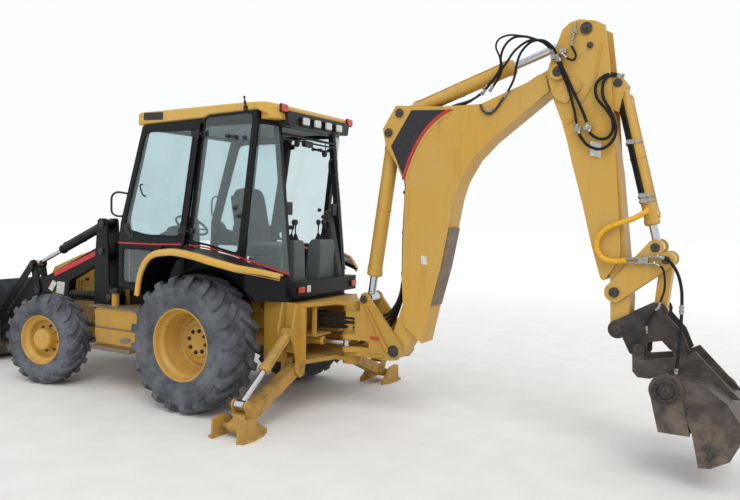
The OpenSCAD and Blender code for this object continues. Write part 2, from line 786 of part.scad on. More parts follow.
// Links outside the levers; their lower ends only lie against the bucket's bosses
module bucket_links() color(dark) machine() both_sides()
  for (y = [arm_y - link_in - lever_t, arm_y + link_in])
    plate(y, lever_t)
      difference() {
        bar(lever_top, loader_top, 46, 42);
        translate(lever_top) circle(r = pin_r + fit);
      }

// Loader bucket: shell, sides, cutting edge and lugs
module loader_bucket() color(dark) machine() {
  plate(-loader_bucket_w / 2, loader_bucket_w)
    polygon([[3570, 1010], [3500, 900], [3482, 600], [3482, 300], [3525, 120], [3640, 40], [4260, 30],
             [4260, 60], [3660, 80], [3560, 150], [3510, 310], [3510, 600], [3530, 880], [3600, 1000]]);
  both_sides()
    plate(loader_bucket_w / 2 - bucket_plate, bucket_plate)
      polygon([[3600, 1000], [3530, 880], [3510, 600], [3510, 310], [3560, 150], [3660, 80], [4200, 62],
               [4120, 300], [3780, 820]]);
  both_sides() {
    for (y = [arm_y - lever_in - lever_t, arm_y + lever_in])
      plate(y, lever_t)
        polygon([[3360, 260], [3420, 235], [3520, 240], [3515, 640], [3370, 620], [3320, 580]]);
    pin_y(loader_pin, pin_r, arm_y - lever_in - lever_t, 2 * (lever_in + lever_t));
    // Bosses that the links lie against
    for (y = [arm_y - link_in + seat_gap, arm_y + lever_in + lever_t])
      pin_y(loader_top, 40, y, gap - seat_gap);
  }
}

// Swing frame between the hinge and the boom's foot
foot_w = 190;
swing_plate = 34;
swing_outer = foot_w / 2 + gap + swing_plate;
foot_pin_r = 42;
stick_pin_r = 40;

swing_slot = swing_eye_w / 2 + gap;
low_boss = [lower_lug[1] + seat_gap, swing_z - swing_slot];
high_boss = [swing_z + swing_slot, upper_lug[0] - seat_gap];
ear_t = 50;

module swing_frame() color(yellow) on_hinge() {
  difference() {
    union() {
      // Bosses between the lugs, above and below the swing cylinders
      for (b = [low_boss, high_boss])
        translate([drawn_hinge, 0, b[0]]) cylinder(r = hinge_r, h = b[1] - b[0]);
      for (z = [low_boss[0] + 10, high_boss[0], high_boss[1] - 70])
        translate([drawn_hinge - 330, -swing_outer, z]) cube([330, 2 * swing_outer, 60]);
      both_sides() {
        plate(foot_w / 2 + gap, swing_plate) swing_side();
        for (z = [low_boss[1] - ear_t, high_boss[0]])
          translate([0, 0, z]) linear_extrude(ear_t) {
            translate(swing_ear) circle(r = 38);
            polygon([swing_ear + [-6, 37], [drawn_hinge - 150, swing_outer], [drawn_hinge - 100, 0], [drawn_hinge, 0],
                     swing_ear + [37, 0]]);
          }
      }
    }
    // Slot for the boom's foot and the boom cylinder
    plate(-foot_w / 2 - gap, foot_w + 2 * gap)
      polygon([[-1390, 400], [-1390, 1300], [-2000, 1300], [-2000, 400]]);
    // Slot for the swing rods through the side plates
    translate([drawn_hinge - 260, -swing_outer - 1, low_boss[1]])
      cube([220, 2 * swing_outer + 2, high_boss[0] - low_boss[1]]);
  }
  translate([drawn_hinge, 0, lower_lug[0]]) cylinder(r = hinge_pin_r, h = upper_lug[1] - lower_lug[0]);
  pin_y(boom_foot, foot_pin_r, -swing_outer, 2 * swing_outer);
  // Pin stubs of the boom cylinder's eye
  both_sides() pin_y(boom_rod_eye, pin_r, foot_w / 2 + gap, swing_plate + 12);
}

module swing_side() {
  polygon([[drawn_hinge - 100, low_boss[0] + 10], [drawn_hinge - 100, 990], [-1415, 1000], [-1412, 1110], [-1425, 1165],
           [-1460, 1182], [-1500, 1165], [-1530, 1110], [-1862, 720], [-1865, 640], [-1820, 580], [-1740, 565]]);
}

// Boom: curved box with a narrower foot
module boom() color(yellow) on_hinge() {
  difference() {
    union() {
      plate(-boom_w / 2, boom_w)
        polygon([[-1743, 2918], [-1611, 2710], [-1645, 2562], [-1750, 2400], [-1862, 2204], [-1850, 2021],
                 [-1845, 1321], [-1880, 900], [-2060, 760], [-2139, 1111], [-2229, 1460], [-2297, 1820],
                 [-2344, 2082], [-2394, 2232], [-2505, 2419], [-2657, 2572], [-2892, 2754], [-3080, 2900],
                 [-3150, 2960], [-3120, 3080], [-3064, 3099], [-2970, 3041], [-2564, 2886], [-2233, 2885]]);
      plate(-100, 200) {
        translate(stick_pin) circle(r = 95);
        polygon([[-3000, 2840], [-3000, 3060], stick_pin + [-10, 94], stick_pin + [-10, -94]]);
      }
      plate(-foot_w / 2, foot_w) {
        translate(boom_foot) circle(r = 78);
        polygon([boom_foot + [70, 30], [-1850, 1100], [-2090, 1000], boom_foot + [-60, -52]]);
      }
    }
    pin_y(stick_pin, stick_pin_r + fit, -150, 300);
    pin_y(boom_foot, foot_pin_r + fit, -150, 300);
    // Fork for the two cylinders at the nose
    plate(-66, 132)
      polygon([[-1500, 2400], [-1500, 3000], [-2300, 3000], [-2300, 2860], [-1990, 2740], [-1850, 2520],
               [-1790, 2400]]);
  }
  for (at = [boom_base, stick_base]) pin_y(at, pin_r, -boom_w / 2 - 10, boom_w + 20);
}

// Boom cylinder: base at the boom's nose, rod eye on the swing frame
boom_reach = distance(boom_base, boom_rod_eye);

module boom_barrel() color(yellow) on_hinge()
  aim_xz(boom_base, boom_rod_eye, 0) barrel(1340, 66, 38, 120, 58);

module boom_rod() color(chrome) on_hinge()
  aim_xz(boom_base, boom_rod_eye, 0) rod(520, boom_reach, 38, 150, 56);

// Stick cylinder: base at the boom's nose, rod eye on the stick's heel
stick_reach = distance(stick_base, stick_rod_eye);

module stick_barrel() color(yellow) on_hinge()
  aim_xz(stick_base, stick_rod_eye, 0) barrel(1080, 60, 34, 120, 56);

module stick_rod() color(chrome) on_hinge()
  aim_xz(stick_base, stick_rod_eye, 0) rod(670, stick_reach, 34, 120, 54);

// Stick: two side plates with a closed lower part that guides the extension
module stick() color(yellow) on_hinge() {
  both_sides()
    plate(stick_w / 2 - stick_plate, stick_plate) stick_side();
  // Closed box behind the extension
  plate(-stick_w / 2 + stick_plate, stick_w - 2 * stick_plate)
    polygon([[-3290, 2620], [-3315, 2560], [-3362, 2376], [-3459, 2041], [-3540, 1718], [-3619, 1459],
             [-3639, 1441], [-3660, 1460], [-3530, 2620]]);
  // Wear pads beside the extension
  pad_y = extension_w / 2 + seat_gap;
  both_sides()
    plate(pad_y, stick_w / 2 - stick_plate - pad_y)
      polygon([[-3752, 1690], [-3748, 1600], [-3700, 1570], [-3690, 1690]]);
  pin_y(stick_pin, stick_pin_r, -stick_w / 2 - 10, stick_w + 20);
  both_sides() pin_y(stick_rod_eye, pin_r, stick_w / 2 - stick_plate, stick_plate + 12);
}

module stick_side() {
  polygon([[-3253, 3435], [-3310, 3482], [-3382, 3500], [-3511, 3475], [-3585, 3433], [-3624, 3150],
           [-3649, 2972], [-3764, 1688], [-3760, 1620], [-3660, 1460], [-3639, 1441], [-3619, 1459],
           [-3540, 1718], [-3459, 2041], [-3362, 2376], [-3315, 2560], [-3269, 2704], [-3201, 2871],
           [-3146, 3060], [-3140, 3110], [-3160, 3180]]);
}

// Extension that slides in the stick, with the bracket of the bucket cylinder
slide_dir = [-0.1101, -0.9939];

module stick_extension() color(yellow) on_hinge() {
  difference() {
    union() {
      plate(-extension_w / 2, extension_w)
        polygon([[-3560, 2830], [-3630, 2830], [-3725, 2300], [-3845, 1300], [-3840, 1100], [-3800, 1010],
                 [-3735, 1006], [-3705, 1060], [-3690, 1440]]);
      both_sides()
        plate(78, extension_w / 2 - 78)
          polygon([[-3560, 2830], [-3640, 3040], [-3700, 3045], [-3745, 2990], [-3700, 2760]]);
    }
    pin_y(link_pin, pin_r + fit, -200, 400);
    pin_y(tip_pin, pin_r + fit, -200, 400);
  }
  pin_y(bucket_base, pin_r, -extension_w / 2, extension_w);
}

// Bucket cylinder on the extension
bucket_reach = distance(bucket_base, bucket_rod_eye);

module bucket_barrel() color(yellow) on_hinge()
  aim_xz(bucket_base, bucket_rod_eye, 0) barrel(1120, 54, 32, 140, 50);

module bucket_rod() color(chrome) on_hinge()
  aim_xz(bucket_base, bucket_rod_eye, 0) rod(420, bucket_reach, 32, 110, 50);

// Link arms outside the extension, and the link to the coupler
link_t = 22;
link_y = extension_w / 2 + gap;

module link_arms() color(yellow) on_hinge() {
  both_sides()
    plate(link_y, link_t)
      difference() {
        union() {
          bar(link_pin, link_far, 78, 62);
          bar(link_pin, bucket_rod_eye, 78, 62);
          polygon([link_pin, link_far, bucket_rod_eye]);
        }
        translate(bucket_rod_eye) circle(r = pin_r + fit);
      }
  pin_y(link_pin, pin_r, -link_y - link_t - 8, 2 * (link_y + link_t + 8));
  pin_y(link_far, pin_r, -link_y, 2 * link_y);
}

module bucket_link() color(yellow) on_hinge()
  difference() {
    union() {
      pin_y(link_far, 54, -80, 160);
      pin_y(coupler_pin, 50, -80, 160);
      plate(-80, 160)
        polygon([link_far + [-50, 10], link_far + [50, 0], coupler_pin + [46, 0], coupler_pin + [-46, 10]]);
    }
    pin_y(link_far, pin_r + fit, -81, 162);
  }

// Quick coupler with its hook
coupler_t = 26;
coupler_y = extension_w / 2 + gap;
hook_pins = [[-3928, 928], [-4205, 985]];
hook_pin_r = 30;
hanger_t = 26;
hanger_y = coupler_y + coupler_t + gap;

module coupler() color(steel) on_hinge() {
  both_sides()
    plate(coupler_y, coupler_t)
      difference() {
        union() {
          translate(tip_pin) circle(r = 72);
          translate(coupler_pin) circle(r = 66);
          polygon([tip_pin + [20, 68], coupler_pin + [40, 60], coupler_pin + [-60, -20], [-4230, 1090],
                   [-4290, 950], [-4240, 915], [-4150, 950], [-4090, 1010], [-3985, 985], [-3985, 880],
                   [-3925, 860], [-3860, 890], tip_pin + [-40, -60]]);
        }
        for (at = hook_pins) translate(at) circle(r = hook_pin_r + seat_gap);
      }
  pin_y(tip_pin, pin_r, -coupler_y - coupler_t - 8, 2 * (coupler_y + coupler_t + 8));
  both_sides() pin_y(coupler_pin, pin_r, coupler_y + 4, coupler_t + 6);
}

// Digging bucket with its hanger and the two pins that the coupler holds
ring_pin_r = 40;

module digging_bucket() color(steel) on_hinge() {
  both_sides()
    plate(hanger_y, hanger_t) {
      polygon([[-3890, 760], [-3930, 715], [-4020, 715], [-4280, 830], [-4560, 640], [-4640, 640],
               [-4330, 960], [-4230, 905], [-3990, 860], [-3905, 850]]);
      bar(hook_pins[0], [-3930, 780], 46, 40);
      bar(hook_pins[1], [-4240, 880], 46, 46);
    }
  for (at = hook_pins) pin_y(at, hook_pin_r, -hanger_y, 2 * hanger_y);
  // Curved shell
  plate(-dig_bucket_w / 2, dig_bucket_w)
    polygon([[-4180, 800], [-4300, 790], [-4440, 755], [-4570, 660], [-4650, 540], [-4665, 400],
             [-4600, 260], [-4480, 190], [-4400, 180], [-4400, 205], [-4470, 215], [-4580, 280],
             [-4640, 400], [-4625, 530], [-4552, 640], [-4430, 730], [-4295, 765], [-4180, 775]]);
  both_sides() {
    plate(dig_bucket_w / 2 - bucket_plate, bucket_plate) {
      polygon([[-4120, 790], [-4295, 790], [-4430, 740], [-4560, 650], [-4640, 530], [-4650, 400],
               [-4590, 270], [-4470, 205], [-4400, 190], [-4350, 420], [-4250, 640]]);
      translate(ring_pin) circle(r = 100);
    }
    pin_y(ring_pin, ring_pin_r, dig_bucket_w / 2 - bucket_plate, 2 * bucket_plate + gap + 10);
  }
}

// Jaw that closes the bucket, hung on the side rings
module bucket_jaw() color(steel) on_hinge() {
  both_sides()
    plate(dig_bucket_w / 2 + gap, bucket_plate)
      difference() {
        union() {
          translate(ring_pin) circle(r = 118);
          polygon([ring_pin + [116, 0], [-4090, 560], [-4130, 399], [-4340, 399], ring_pin + [-110, -40]]);
        }
        translate(ring_pin) circle(r = ring_pin_r + fit);
      }
  plate(-dig_bucket_w / 2 - gap, dig_bucket_w + 2 * gap)
    polygon([[-4090, 560], [-4130, 399], [-4340, 399], [-4340, 420], [-4150, 422], [-4112, 560]]);
}

// Stabilizer: leg, pad, cylinder
leg_ear_t = 20;
pad_half = 150;
pad_t = 20;

module stabilizer_leg() {
  difference() {
    union() {
      rib(leg_x - leg_w / 2, leg_w) bar(leg_pin, along(leg_pin, pad_pin, 800), 52, 60);
      rib(leg_x - leg_w / 2, leg_w) {
        translate(pad_pin) circle(r = 44);
        bar(along(leg_pin, pad_pin, 780), pad_pin, 50, 40);
      }
      for (x = [leg_x - leg_w / 2 - leg_ear_t, leg_x + leg_w / 2])
        rib(x, leg_ear_t) bar(along(leg_pin, pad_pin, 760), leg_eye, 56, 46);
    }
    pin_x(leg_pin, pin_r + fit, leg_x - 100, 200);
    // Slot for the cylinder's rod eye
    rib(leg_x - leg_w / 2, leg_w) translate(leg_eye) circle(r = 62);
  }
  // Pin stubs of the cylinder's eye
  for (x = [leg_x - leg_w / 2 - leg_ear_t - 8, leg_x + leg_w / 2])
    pin_x(leg_eye, pin_r, x, leg_ear_t + 8);
  // Pad of two cheeks, each with a foot plate turned outwards
  for (side = [-1, 1])
    translate([leg_x, 0, 0]) mirror([side < 0 ? 1 : 0, 0, 0]) {
      rib(pad_half - pad_t, pad_t)
        polygon([[1045, 0], [1045, 45], [1120, 90], [1215, 170], [1340, 185], [1420, 165], [1430, 0]]);
      linear_extrude(pad_t)
        polygon([[pad_half - pad_t, 1045], [pad_half - pad_t, 1430], [pad_half + 40, 1415], [pad_half + 58, 1290],
                 [pad_half + 34, 1120]]);
    }
  pin_x(pad_pin, 24, leg_x - pad_half, 2 * pad_half);
}

module stabilizer_left() color(yellow) machine() stabilizer_leg();
module stabilizer_right() color(yellow) machine() mirror([0, 1, 0]) stabilizer_leg();

leg_reach = distance(leg_top, leg_eye);

// Puts children drawn along +Z onto the stabilizer cylinder's line, with their pins along X
module aim_leg() {
  translate([leg_x, leg_top[0], leg_top[1]])
    rotate([bearing(leg_top, leg_eye) - 90, 0, 0])
      rotate([0, 0, 90]) children();
}

module leg_barrel() aim_leg() barrel(465, 50, 27, leg_w, 44);
module leg_rod() aim_leg() rod(405, leg_reach, 27, 96, 42);

module stabilizer_barrel_left() color(yellow) machine() leg_barrel();
module stabilizer_barrel_right() color(yellow) machine() mirror([0, 1, 0]) leg_barrel();
module stabilizer_rod_left() color(chrome) machine() leg_rod();
module stabilizer_rod_right() color(chrome) machine() mirror([0, 1, 0]) leg_rod();

// Swing cylinders between the rear frame and the swing frame's ears
swing_end = swing_ear + [swing_x - drawn_hinge, 0];
swing_reach = distance(swing_base, swing_end);

module aim_swing() {
  translate([swing_base[0], swing_base[1], swing_z])
    rotate([0, 0, bearing(swing_base, swing_end)])
      rotate([0, 90, 0])
        rotate([0, 0, 90]) children();
}

module swing_barrel() aim_swing() barrel(400, 40, 24, swing_eye_w, 42);
module swing_rod() aim_swing() rod(220, swing_reach, 24, swing_eye_w, 34);

module swing_barrel_left() color(yellow) machine() swing_barrel();
module swing_barrel_right() color(yellow) machine() mirror([0, 1, 0]) swing_barrel();
module swing_rod_left() color(chrome) machine() swing_rod();
module swing_rod_right() color(chrome) machine() mirror([0, 1, 0]) swing_rod();

main_frame();
rear_frame();
engine();
hood();
loader_towers();
axles();
cab_base();
cab_frame();
roof();
cab_glass();
seat();
controls();
lamps();
door_left();
door_left_glass();
door_right();
door_right_glass();
knuckle_left();
knuckle_right();
tyre_front_left();
tyre_front_right();
tyre_rear_left();
tyre_rear_right();
rim_front_left();
rim_front_right();
rim_rear_left();
rim_rear_right();
loader_arms();
lift_barrels();
lift_rods();
tilt_barrels();
tilt_rods();
tilt_levers();
bucket_links();
loader_bucket();
swing_frame();
boom();
stick();
stick_extension();
boom_barrel();
boom_rod();
stick_barrel();
stick_rod();
bucket_barrel();
bucket_rod();
link_arms();
bucket_link();
coupler();
digging_bucket();
bucket_jaw();
stabilizer_left();
stabilizer_right();
stabilizer_barrel_left();
stabilizer_barrel_right();
stabilizer_rod_left();
stabilizer_rod_right();
swing_barrel_left();
swing_barrel_right();
swing_rod_left();
swing_rod_right();
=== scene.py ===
import bmesh
import bpy
import json
import math
import numpy as np
from mathutils import Matrix


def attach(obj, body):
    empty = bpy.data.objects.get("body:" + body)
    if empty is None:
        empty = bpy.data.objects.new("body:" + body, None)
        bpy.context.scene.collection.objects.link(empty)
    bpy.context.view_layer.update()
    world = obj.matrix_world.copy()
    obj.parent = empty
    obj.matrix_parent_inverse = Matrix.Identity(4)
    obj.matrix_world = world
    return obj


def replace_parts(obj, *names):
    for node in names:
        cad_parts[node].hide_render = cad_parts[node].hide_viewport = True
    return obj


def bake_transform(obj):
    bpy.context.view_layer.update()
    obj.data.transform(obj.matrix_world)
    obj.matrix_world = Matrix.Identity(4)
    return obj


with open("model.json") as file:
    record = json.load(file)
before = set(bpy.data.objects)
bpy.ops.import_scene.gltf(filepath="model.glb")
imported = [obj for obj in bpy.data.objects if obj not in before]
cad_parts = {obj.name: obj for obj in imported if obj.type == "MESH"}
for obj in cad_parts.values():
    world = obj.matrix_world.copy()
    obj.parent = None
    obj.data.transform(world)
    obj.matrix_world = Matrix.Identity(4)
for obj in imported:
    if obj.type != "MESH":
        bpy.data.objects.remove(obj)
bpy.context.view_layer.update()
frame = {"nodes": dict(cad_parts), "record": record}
axleX = 0.215          # the rear axle's place along the machine
bodyOf = {node: body for body, nodes in frame["record"]["behaviour"]["bodies"].items() for node in nodes}
print("frame loaded:", len(frame["nodes"]), "nodes")


def unit(v):
    # the same direction, or directions in rows, with length 1
    return np.asarray(v, float) / np.linalg.norm(v, axis=-1, keepdims=True)


def addObject(name, data):
    made = bpy.data.objects.new(name, data)
    bpy.context.scene.collection.objects.link(made)
    return made


def aim(thing, place, right, up, back):
    # stands the thing at the place, its own x, y and z along the three directions
    turn = np.eye(4)
    turn[:3] = np.column_stack([right, up, back, place])
    thing.matrix_world = Matrix(turn.tolist())


# the view that the photograph was taken from
camera = {"place": (-4.5941, 5.8963, 1.9327), "yaw": -1.0509, "pitch": -0.052, "roll": 0.0214, "lens": 34.48,
          "sensor": 36.0}


def addCamera():
    # looks ahead at (cos yaw cos pitch, sin yaw cos pitch, sin pitch), then rolled about that line
    yaw, pitch, roll = camera["yaw"], camera["pitch"], camera["roll"]
    ahead = np.array([math.cos(yaw) * math.cos(pitch), math.sin(yaw) * math.cos(pitch), math.sin(pitch)])
    right = unit(np.cross(ahead, [0, 0, 1.0]))
    up = np.cross(right, ahead)
    right, up = right * math.cos(roll) + up * math.sin(roll), up * math.cos(roll) - right * math.sin(roll)
    lens = bpy.data.cameras.new("camera")
    lens.lens, lens.sensor_width = camera["lens"], camera["sensor"]
    eye = addObject("camera", lens)
    aim(eye, camera["place"], right, up, -ahead)
    bpy.context.scene.camera = eye


addCamera()


# shapes: each is a pair of points and faces, in millimetres from under the rear axle
def onMachine(points):
    # places measured in millimetres from under the rear axle, as [x, y, z]
    return np.asarray(points, float) / 1000 + [axleX, 0, 0]


def surface(points, wrapRows=False, wrapCols=False, flip=False, closed=False):
    # points[row, col] as one sheet of quads; closed puts a face over the first and the last row
    rows, cols = points.shape[:2]
    i = np.arange(rows if wrapRows else rows - 1)[:, None]
    j = np.arange(cols if wrapCols else cols - 1)[None, :]
    nextRow, nextCol = (i + 1) % rows, (j + 1) % cols
    quads = np.stack([i * cols + j, i * cols + nextCol, nextRow * cols + nextCol, nextRow * cols + j], -1)
    quads = quads.reshape(-1, 4)
    faces = [tuple(face) for face in (quads[:, ::-1] if flip else quads).tolist()]
    if closed:
        way = 1 if flip else -1
        faces += [tuple(range(cols))[::way], tuple(range((rows - 1) * cols, rows * cols))[::-way]]
    return points.reshape(-1, 3), faces


def join(*shapes):
    # several shapes as one, with the faces' numbers moved on
    points, faces, count = [], [], 0
    for shape in shapes:
        points.append(shape[0])
        faces += [tuple(k + count for k in face) for face in shape[1]]
        count += len(shape[0])
    return np.concatenate(points), faces


def curveThrough(stops, steps=10):
    # Catmull-Rom curve: each span is a cubic through its ends, sloped along its neighbours
    p = np.asarray(stops, float)
    p = np.concatenate([2 * p[:1] - p[1:2], p, 2 * p[-1:] - p[-2:-1]])
    t = np.linspace(0, 1, steps, endpoint=False)[:, None]
    spans = [0.5 * (2 * b + (c - a) * t + (2 * a - 5 * b + 4 * c - d) * t**2 + (3 * b - a - 3 * c + d) * t**3)
             for a, b, c, d in zip(p[:-3], p[1:-2], p[2:-1], p[3:])]
    return np.concatenate(spans + [p[-2:-1]])


def tube(path, radius, sides=10, closed=True):
    # circle carried along a path: at each point, radius * (cos a * side + sin a * up), the side vectors
    # carried on from point to point so that the tube doesn't twist
    path = np.asarray(path, float)
    along = unit(np.gradient(path, axis=0))
    side = [unit(np.cross(along[0], [0, 0, 1.0] if abs(along[0][2]) < 0.9 else [0, 1.0, 0]))]
    for step in along[1:]:
        side.append(unit(side[-1] - step * np.dot(side[-1], step)))
    side = np.array(side)
    up = np.cross(along, side)
    angle = np.linspace(0, 2 * np.pi, sides, endpoint=False)[None, :, None]
    points = path[:, None] + radius * (np.cos(angle) * side[:, None] + np.sin(angle) * up[:, None])
    return surface(points, wrapCols=True, closed=closed)


def turned(profile, centre, axis=(0, 1, 0), steps=48):
    # profile of [radius, distance along the axis] turned about the axis through the centre
    profile, axis = np.asarray(profile, float), unit(axis)
    side = unit(np.cross(axis, [0, 0, 1.0] if abs(axis[2]) < 0.9 else [1.0, 0, 0]))
    up = np.cross(axis, side)
    angle = np.linspace(0, 2 * np.pi, steps, endpoint=False)[:, None]
    ring = (np.cos(angle) * side + np.sin(angle) * up)[:, None]
    points = np.asarray(centre) + profile[None, :, :1] * ring + profile[None, :, 1:] * axis
    vertices, faces = surface(points, wrapRows=True, flip=True)
    cols = len(profile)
    for col, way in ((0, 1), (cols - 1, -1)):
        if profile[col][0] > 0:
            faces.append(tuple(range(col, steps * cols, cols))[::way])
    return vertices, faces


def areaOf(outline):
    # above 0 where the outline runs anticlockwise
    return np.sum(outline[:, 0] * np.roll(outline[:, 1], -1) - outline[:, 1] * np.roll(outline[:, 0], -1))


def slab(outline, low, high, plane="xz"):
    # outline carried straight from low to high across its plane, closed at both ends
    outline = np.asarray(outline, float)
    if (areaOf(outline) > 0) == (plane == "xz"):
        outline = outline[::-1]
    a, b, across = {"xz": (0, 2, 1), "yz": (1, 2, 0), "xy": (0, 1, 2)}[plane]
    points = np.zeros((2, len(outline), 3))
    points[:, :, a], points[:, :, b] = outline.T
    points[0, :, across], points[1, :, across] = min(low, high), max(low, high)
    return surface(points, wrapCols=True, closed=True)


def rounded(outline, radius, steps=6):
    # outline with each corner cut at the radius and bent: a quadratic curve from edge to edge
    p = np.asarray(outline, float)
    before, after = np.roll(p, 1, 0) - p, np.roll(p, -1, 0) - p
    longA, longB = np.linalg.norm(before, axis=1), np.linalg.norm(after, axis=1)
    cut = np.minimum(radius, 0.45 * np.minimum(longA, longB))[:, None]
    a, b = p + before / longA[:, None] * cut, p + after / longB[:, None] * cut
    t = np.linspace(0, 1, steps)[None, :, None]
    return ((1 - t)**2 * a[:, None] + 2 * t * (1 - t) * p[:, None] + t**2 * b[:, None]).reshape(-1, 2)


def bentSlab(outline, radius, steps, low, high, plane="xz"):
    # slab whose outline has its corners bent
    return slab(rounded(outline, radius, steps), low, high, plane)


def plate(a0, b0, a1, b1, low, high, radius=0, steps=5, plane="xz"):
    # rectangle between two opposite corners, carried from low to high across its plane
    corners = [[a0, b0], [a1, b0], [a1, b1], [a0, b1]]
    return slab(rounded(corners, radius, steps) if radius else corners, low, high, plane)


def inset(outline, by):
    # outline moved inwards by the same distance along its corners' bisectors
    p = np.asarray(outline, float)
    edge = unit(np.roll(p, -1, 0) - p)
    out = np.stack([edge[:, 1], -edge[:, 0]], 1) * (1 if areaOf(p) > 0 else -1)
    both = out + np.roll(out, 1, 0)
    return p - both / np.maximum((both**2).sum(1, keepdims=True) / 2, 0.3) * by


def ringSlab(outer, inner, low, high):
    # band between two outlines in x and z of the same count, carried from low to high
    loops = [np.insert(loop, 1, level, axis=1)
             for loop, level in ((outer, low), (outer, high), (inner, high), (inner, low))]
    return surface(np.stack(loops), wrapRows=True, wrapCols=True, flip=areaOf(outer) > 0)


def mirrored(shape):
    # the same shape on the other side
    return shape[0] * [1, -1, 1], [face[::-1] for face in shape[1]]


def disc(at, radius, low, high, steps=28):
    # short round bar along Y with a small chamfer at both ends
    edge = min(4, radius * 0.2)
    profile = [[radius - edge, low], [radius, low + edge], [radius, high - edge], [radius - edge, high]]
    return turned(profile, [at[0], 0, at[1]], steps=steps)


def finishMesh(mesh, material, smooth):
    # smooth is the angle in degrees over which an edge stays sharp
    mesh.shade_smooth()
    if smooth < 180:
        mesh.set_sharp_from_angle(angle=math.radians(smooth))
    mesh.materials.clear()
    mesh.materials.append(material)


def roundEdges(piece, width, sharpest):
    # rounds, by the width in millimetres, the edges over an angle in degrees
    edge = piece.modifiers.new("bevel", "BEVEL")
    edge.width, edge.segments, edge.use_clamp_overlap = width / 1000, 2, True
    edge.limit_method, edge.angle_limit = "ANGLE", math.radians(sharpest)


def addPiece(name, shape, body, material, bevel=0.0, smooth=35, subdivide=0, ride=True):
    # a shape as a piece with its finish and modifiers, which rides on its body unless ride is False
    mesh = bpy.data.meshes.new(name)
    mesh.from_pydata(onMachine(shape[0]).tolist(), [], shape[1])
    mesh.update()
    finishMesh(mesh, material, smooth)
    piece = addObject(name, mesh)
    if bevel:
        roundEdges(piece, bevel, edges["pieceRounded"])
    if subdivide:
        finer = piece.modifiers.new("subdivide", "SUBSURF")
        finer.levels = finer.render_levels = subdivide
    if ride:
        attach(piece, body)
    return piece


def addPair(name, shape, body, material, **settings):
    # the piece on the left and its mirror image on the right; the body door is each side's own door
    for end, one in (("Left", shape), ("Right", mirrored(shape))):
        addPiece(name + end, one, "door_" + end.lower() if body == "door" else body, material, **settings)


def addBlended(name, shape, bodies, material, start, end, smooth=50):
    # a piece over the joint between two bodies, baked where it stands and riding on neither; start and end
    # are not used
    piece = addPiece(name, shape, bodies[0], material, smooth=smooth, ride=False)
    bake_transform(piece)


# edges of the solids: points nearer than join, in metres, become one. The others are angles in degrees: faces
# up to flat become one face, an edge over sharp stays sharp, and an edge over rounded is rounded, or over
# pieceRounded on the other pieces
edges = {"join": 0.00002, "flat": 0.6, "sharp": 32, "rounded": 38, "pieceRounded": 40}


def softened(node, width, material):
    # a copy of a solid, its loose triangles joined and its edges rounded, in the solid's place
    mesh = frame["nodes"][node].data.copy()
    build = bmesh.new()
    build.from_mesh(mesh)
    bmesh.ops.remove_doubles(build, verts=build.verts, dist=edges["join"])
    bmesh.ops.dissolve_limit(build, angle_limit=math.radians(edges["flat"]), verts=build.verts,
                             edges=build.edges)
    build.to_mesh(mesh)
    build.free()
    finishMesh(mesh, material, edges["sharp"])
    piece = addObject(node + "_finished", mesh)
    roundEdges(piece, width, edges["rounded"])
    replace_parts(piece, node)
    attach(piece, bodyOf[node])


# materials
class Wire:
    # one socket of a shader, so that sums and products of sockets are written as plain maths
    def __init__(self, tree, socket):
        self.tree, self.socket = tree, socket

    def node(self, kind, values=None, out=0, **settings):
        # a new node, its inputs linked or set and its settings made; the wire is from one of its outputs
        made = self.tree.nodes.new("ShaderNode" + kind)
        for key, value in settings.items():
            setattr(made, key, value)
        for key, value in (values or {}).items():
            if isinstance(value, Wire):
                self.tree.links.new(value.socket, made.inputs[key])
            else:
                made.inputs[key].default_value = value
        return Wire(self.tree, made.outputs[out])

    def maths(self, operation, *values):
        return self.node("Math", dict(enumerate(values)), operation=operation)

    def __add__(self, other):
        return self.maths("ADD", self, other)

    def __radd__(self, other):
        return self.maths("ADD", other, self)

    def __sub__(self, other):
        return self.maths("SUBTRACT", self, other)

    def __rsub__(self, other):
        return self.maths("SUBTRACT", other, self)

    def __mul__(self, other):
        return self.maths("MULTIPLY", self, other)

    def __rmul__(self, other):
        return self.maths("MULTIPLY", other, self)

    def over(self, low, high):
        # 0 below low, 1 above high, smooth between; low may be the larger one
        if low > high:
            return 1 - self.over(high, low)
        return self.node("MapRange", {"Value": self, "From Min": low, "From Max": high},
                         interpolation_type="SMOOTHSTEP")

    def noise(self, scale, detail=4, rough=0.55, stretch=None):
        # cloud of blotches about 1 / scale metres wide, around 0.5
        place = self
        if stretch:
            place = self.node("Mapping", {"Vector": self, "Scale": stretch}, vector_type="POINT")
        return self.node("TexNoise", {"Vector": place, "Scale": scale, "Detail": detail, "Roughness": rough})

    def blend(self, first, second):
        # first where this mask is 0, second where it is 1
        first, second = (c if isinstance(c, Wire) else (*c, 1) for c in (first, second))
        return self.node("Mix", {0: self, 6: first, 7: second}, out=2, data_type="RGBA")


def startMaterial(name):
    # a new material, its shader and the place in the object's own frame, in metres
    material = bpy.data.materials.new(name)
    material.use_nodes = True
    tree = material.node_tree
    return material, tree.nodes["Principled BSDF"], Wire(tree, None).node("TexCoord", out=3)


def heightAt(place):
    # height over the ground, with the machine at rest
    return place.node("SeparateXYZ", {0: place}, out=2)


def facingUp(place):
    # 1 on a level top, 0 on an upright wall
    return place.node("SeparateXYZ", {0: place.node("NewGeometry", out=1)}, out=2)


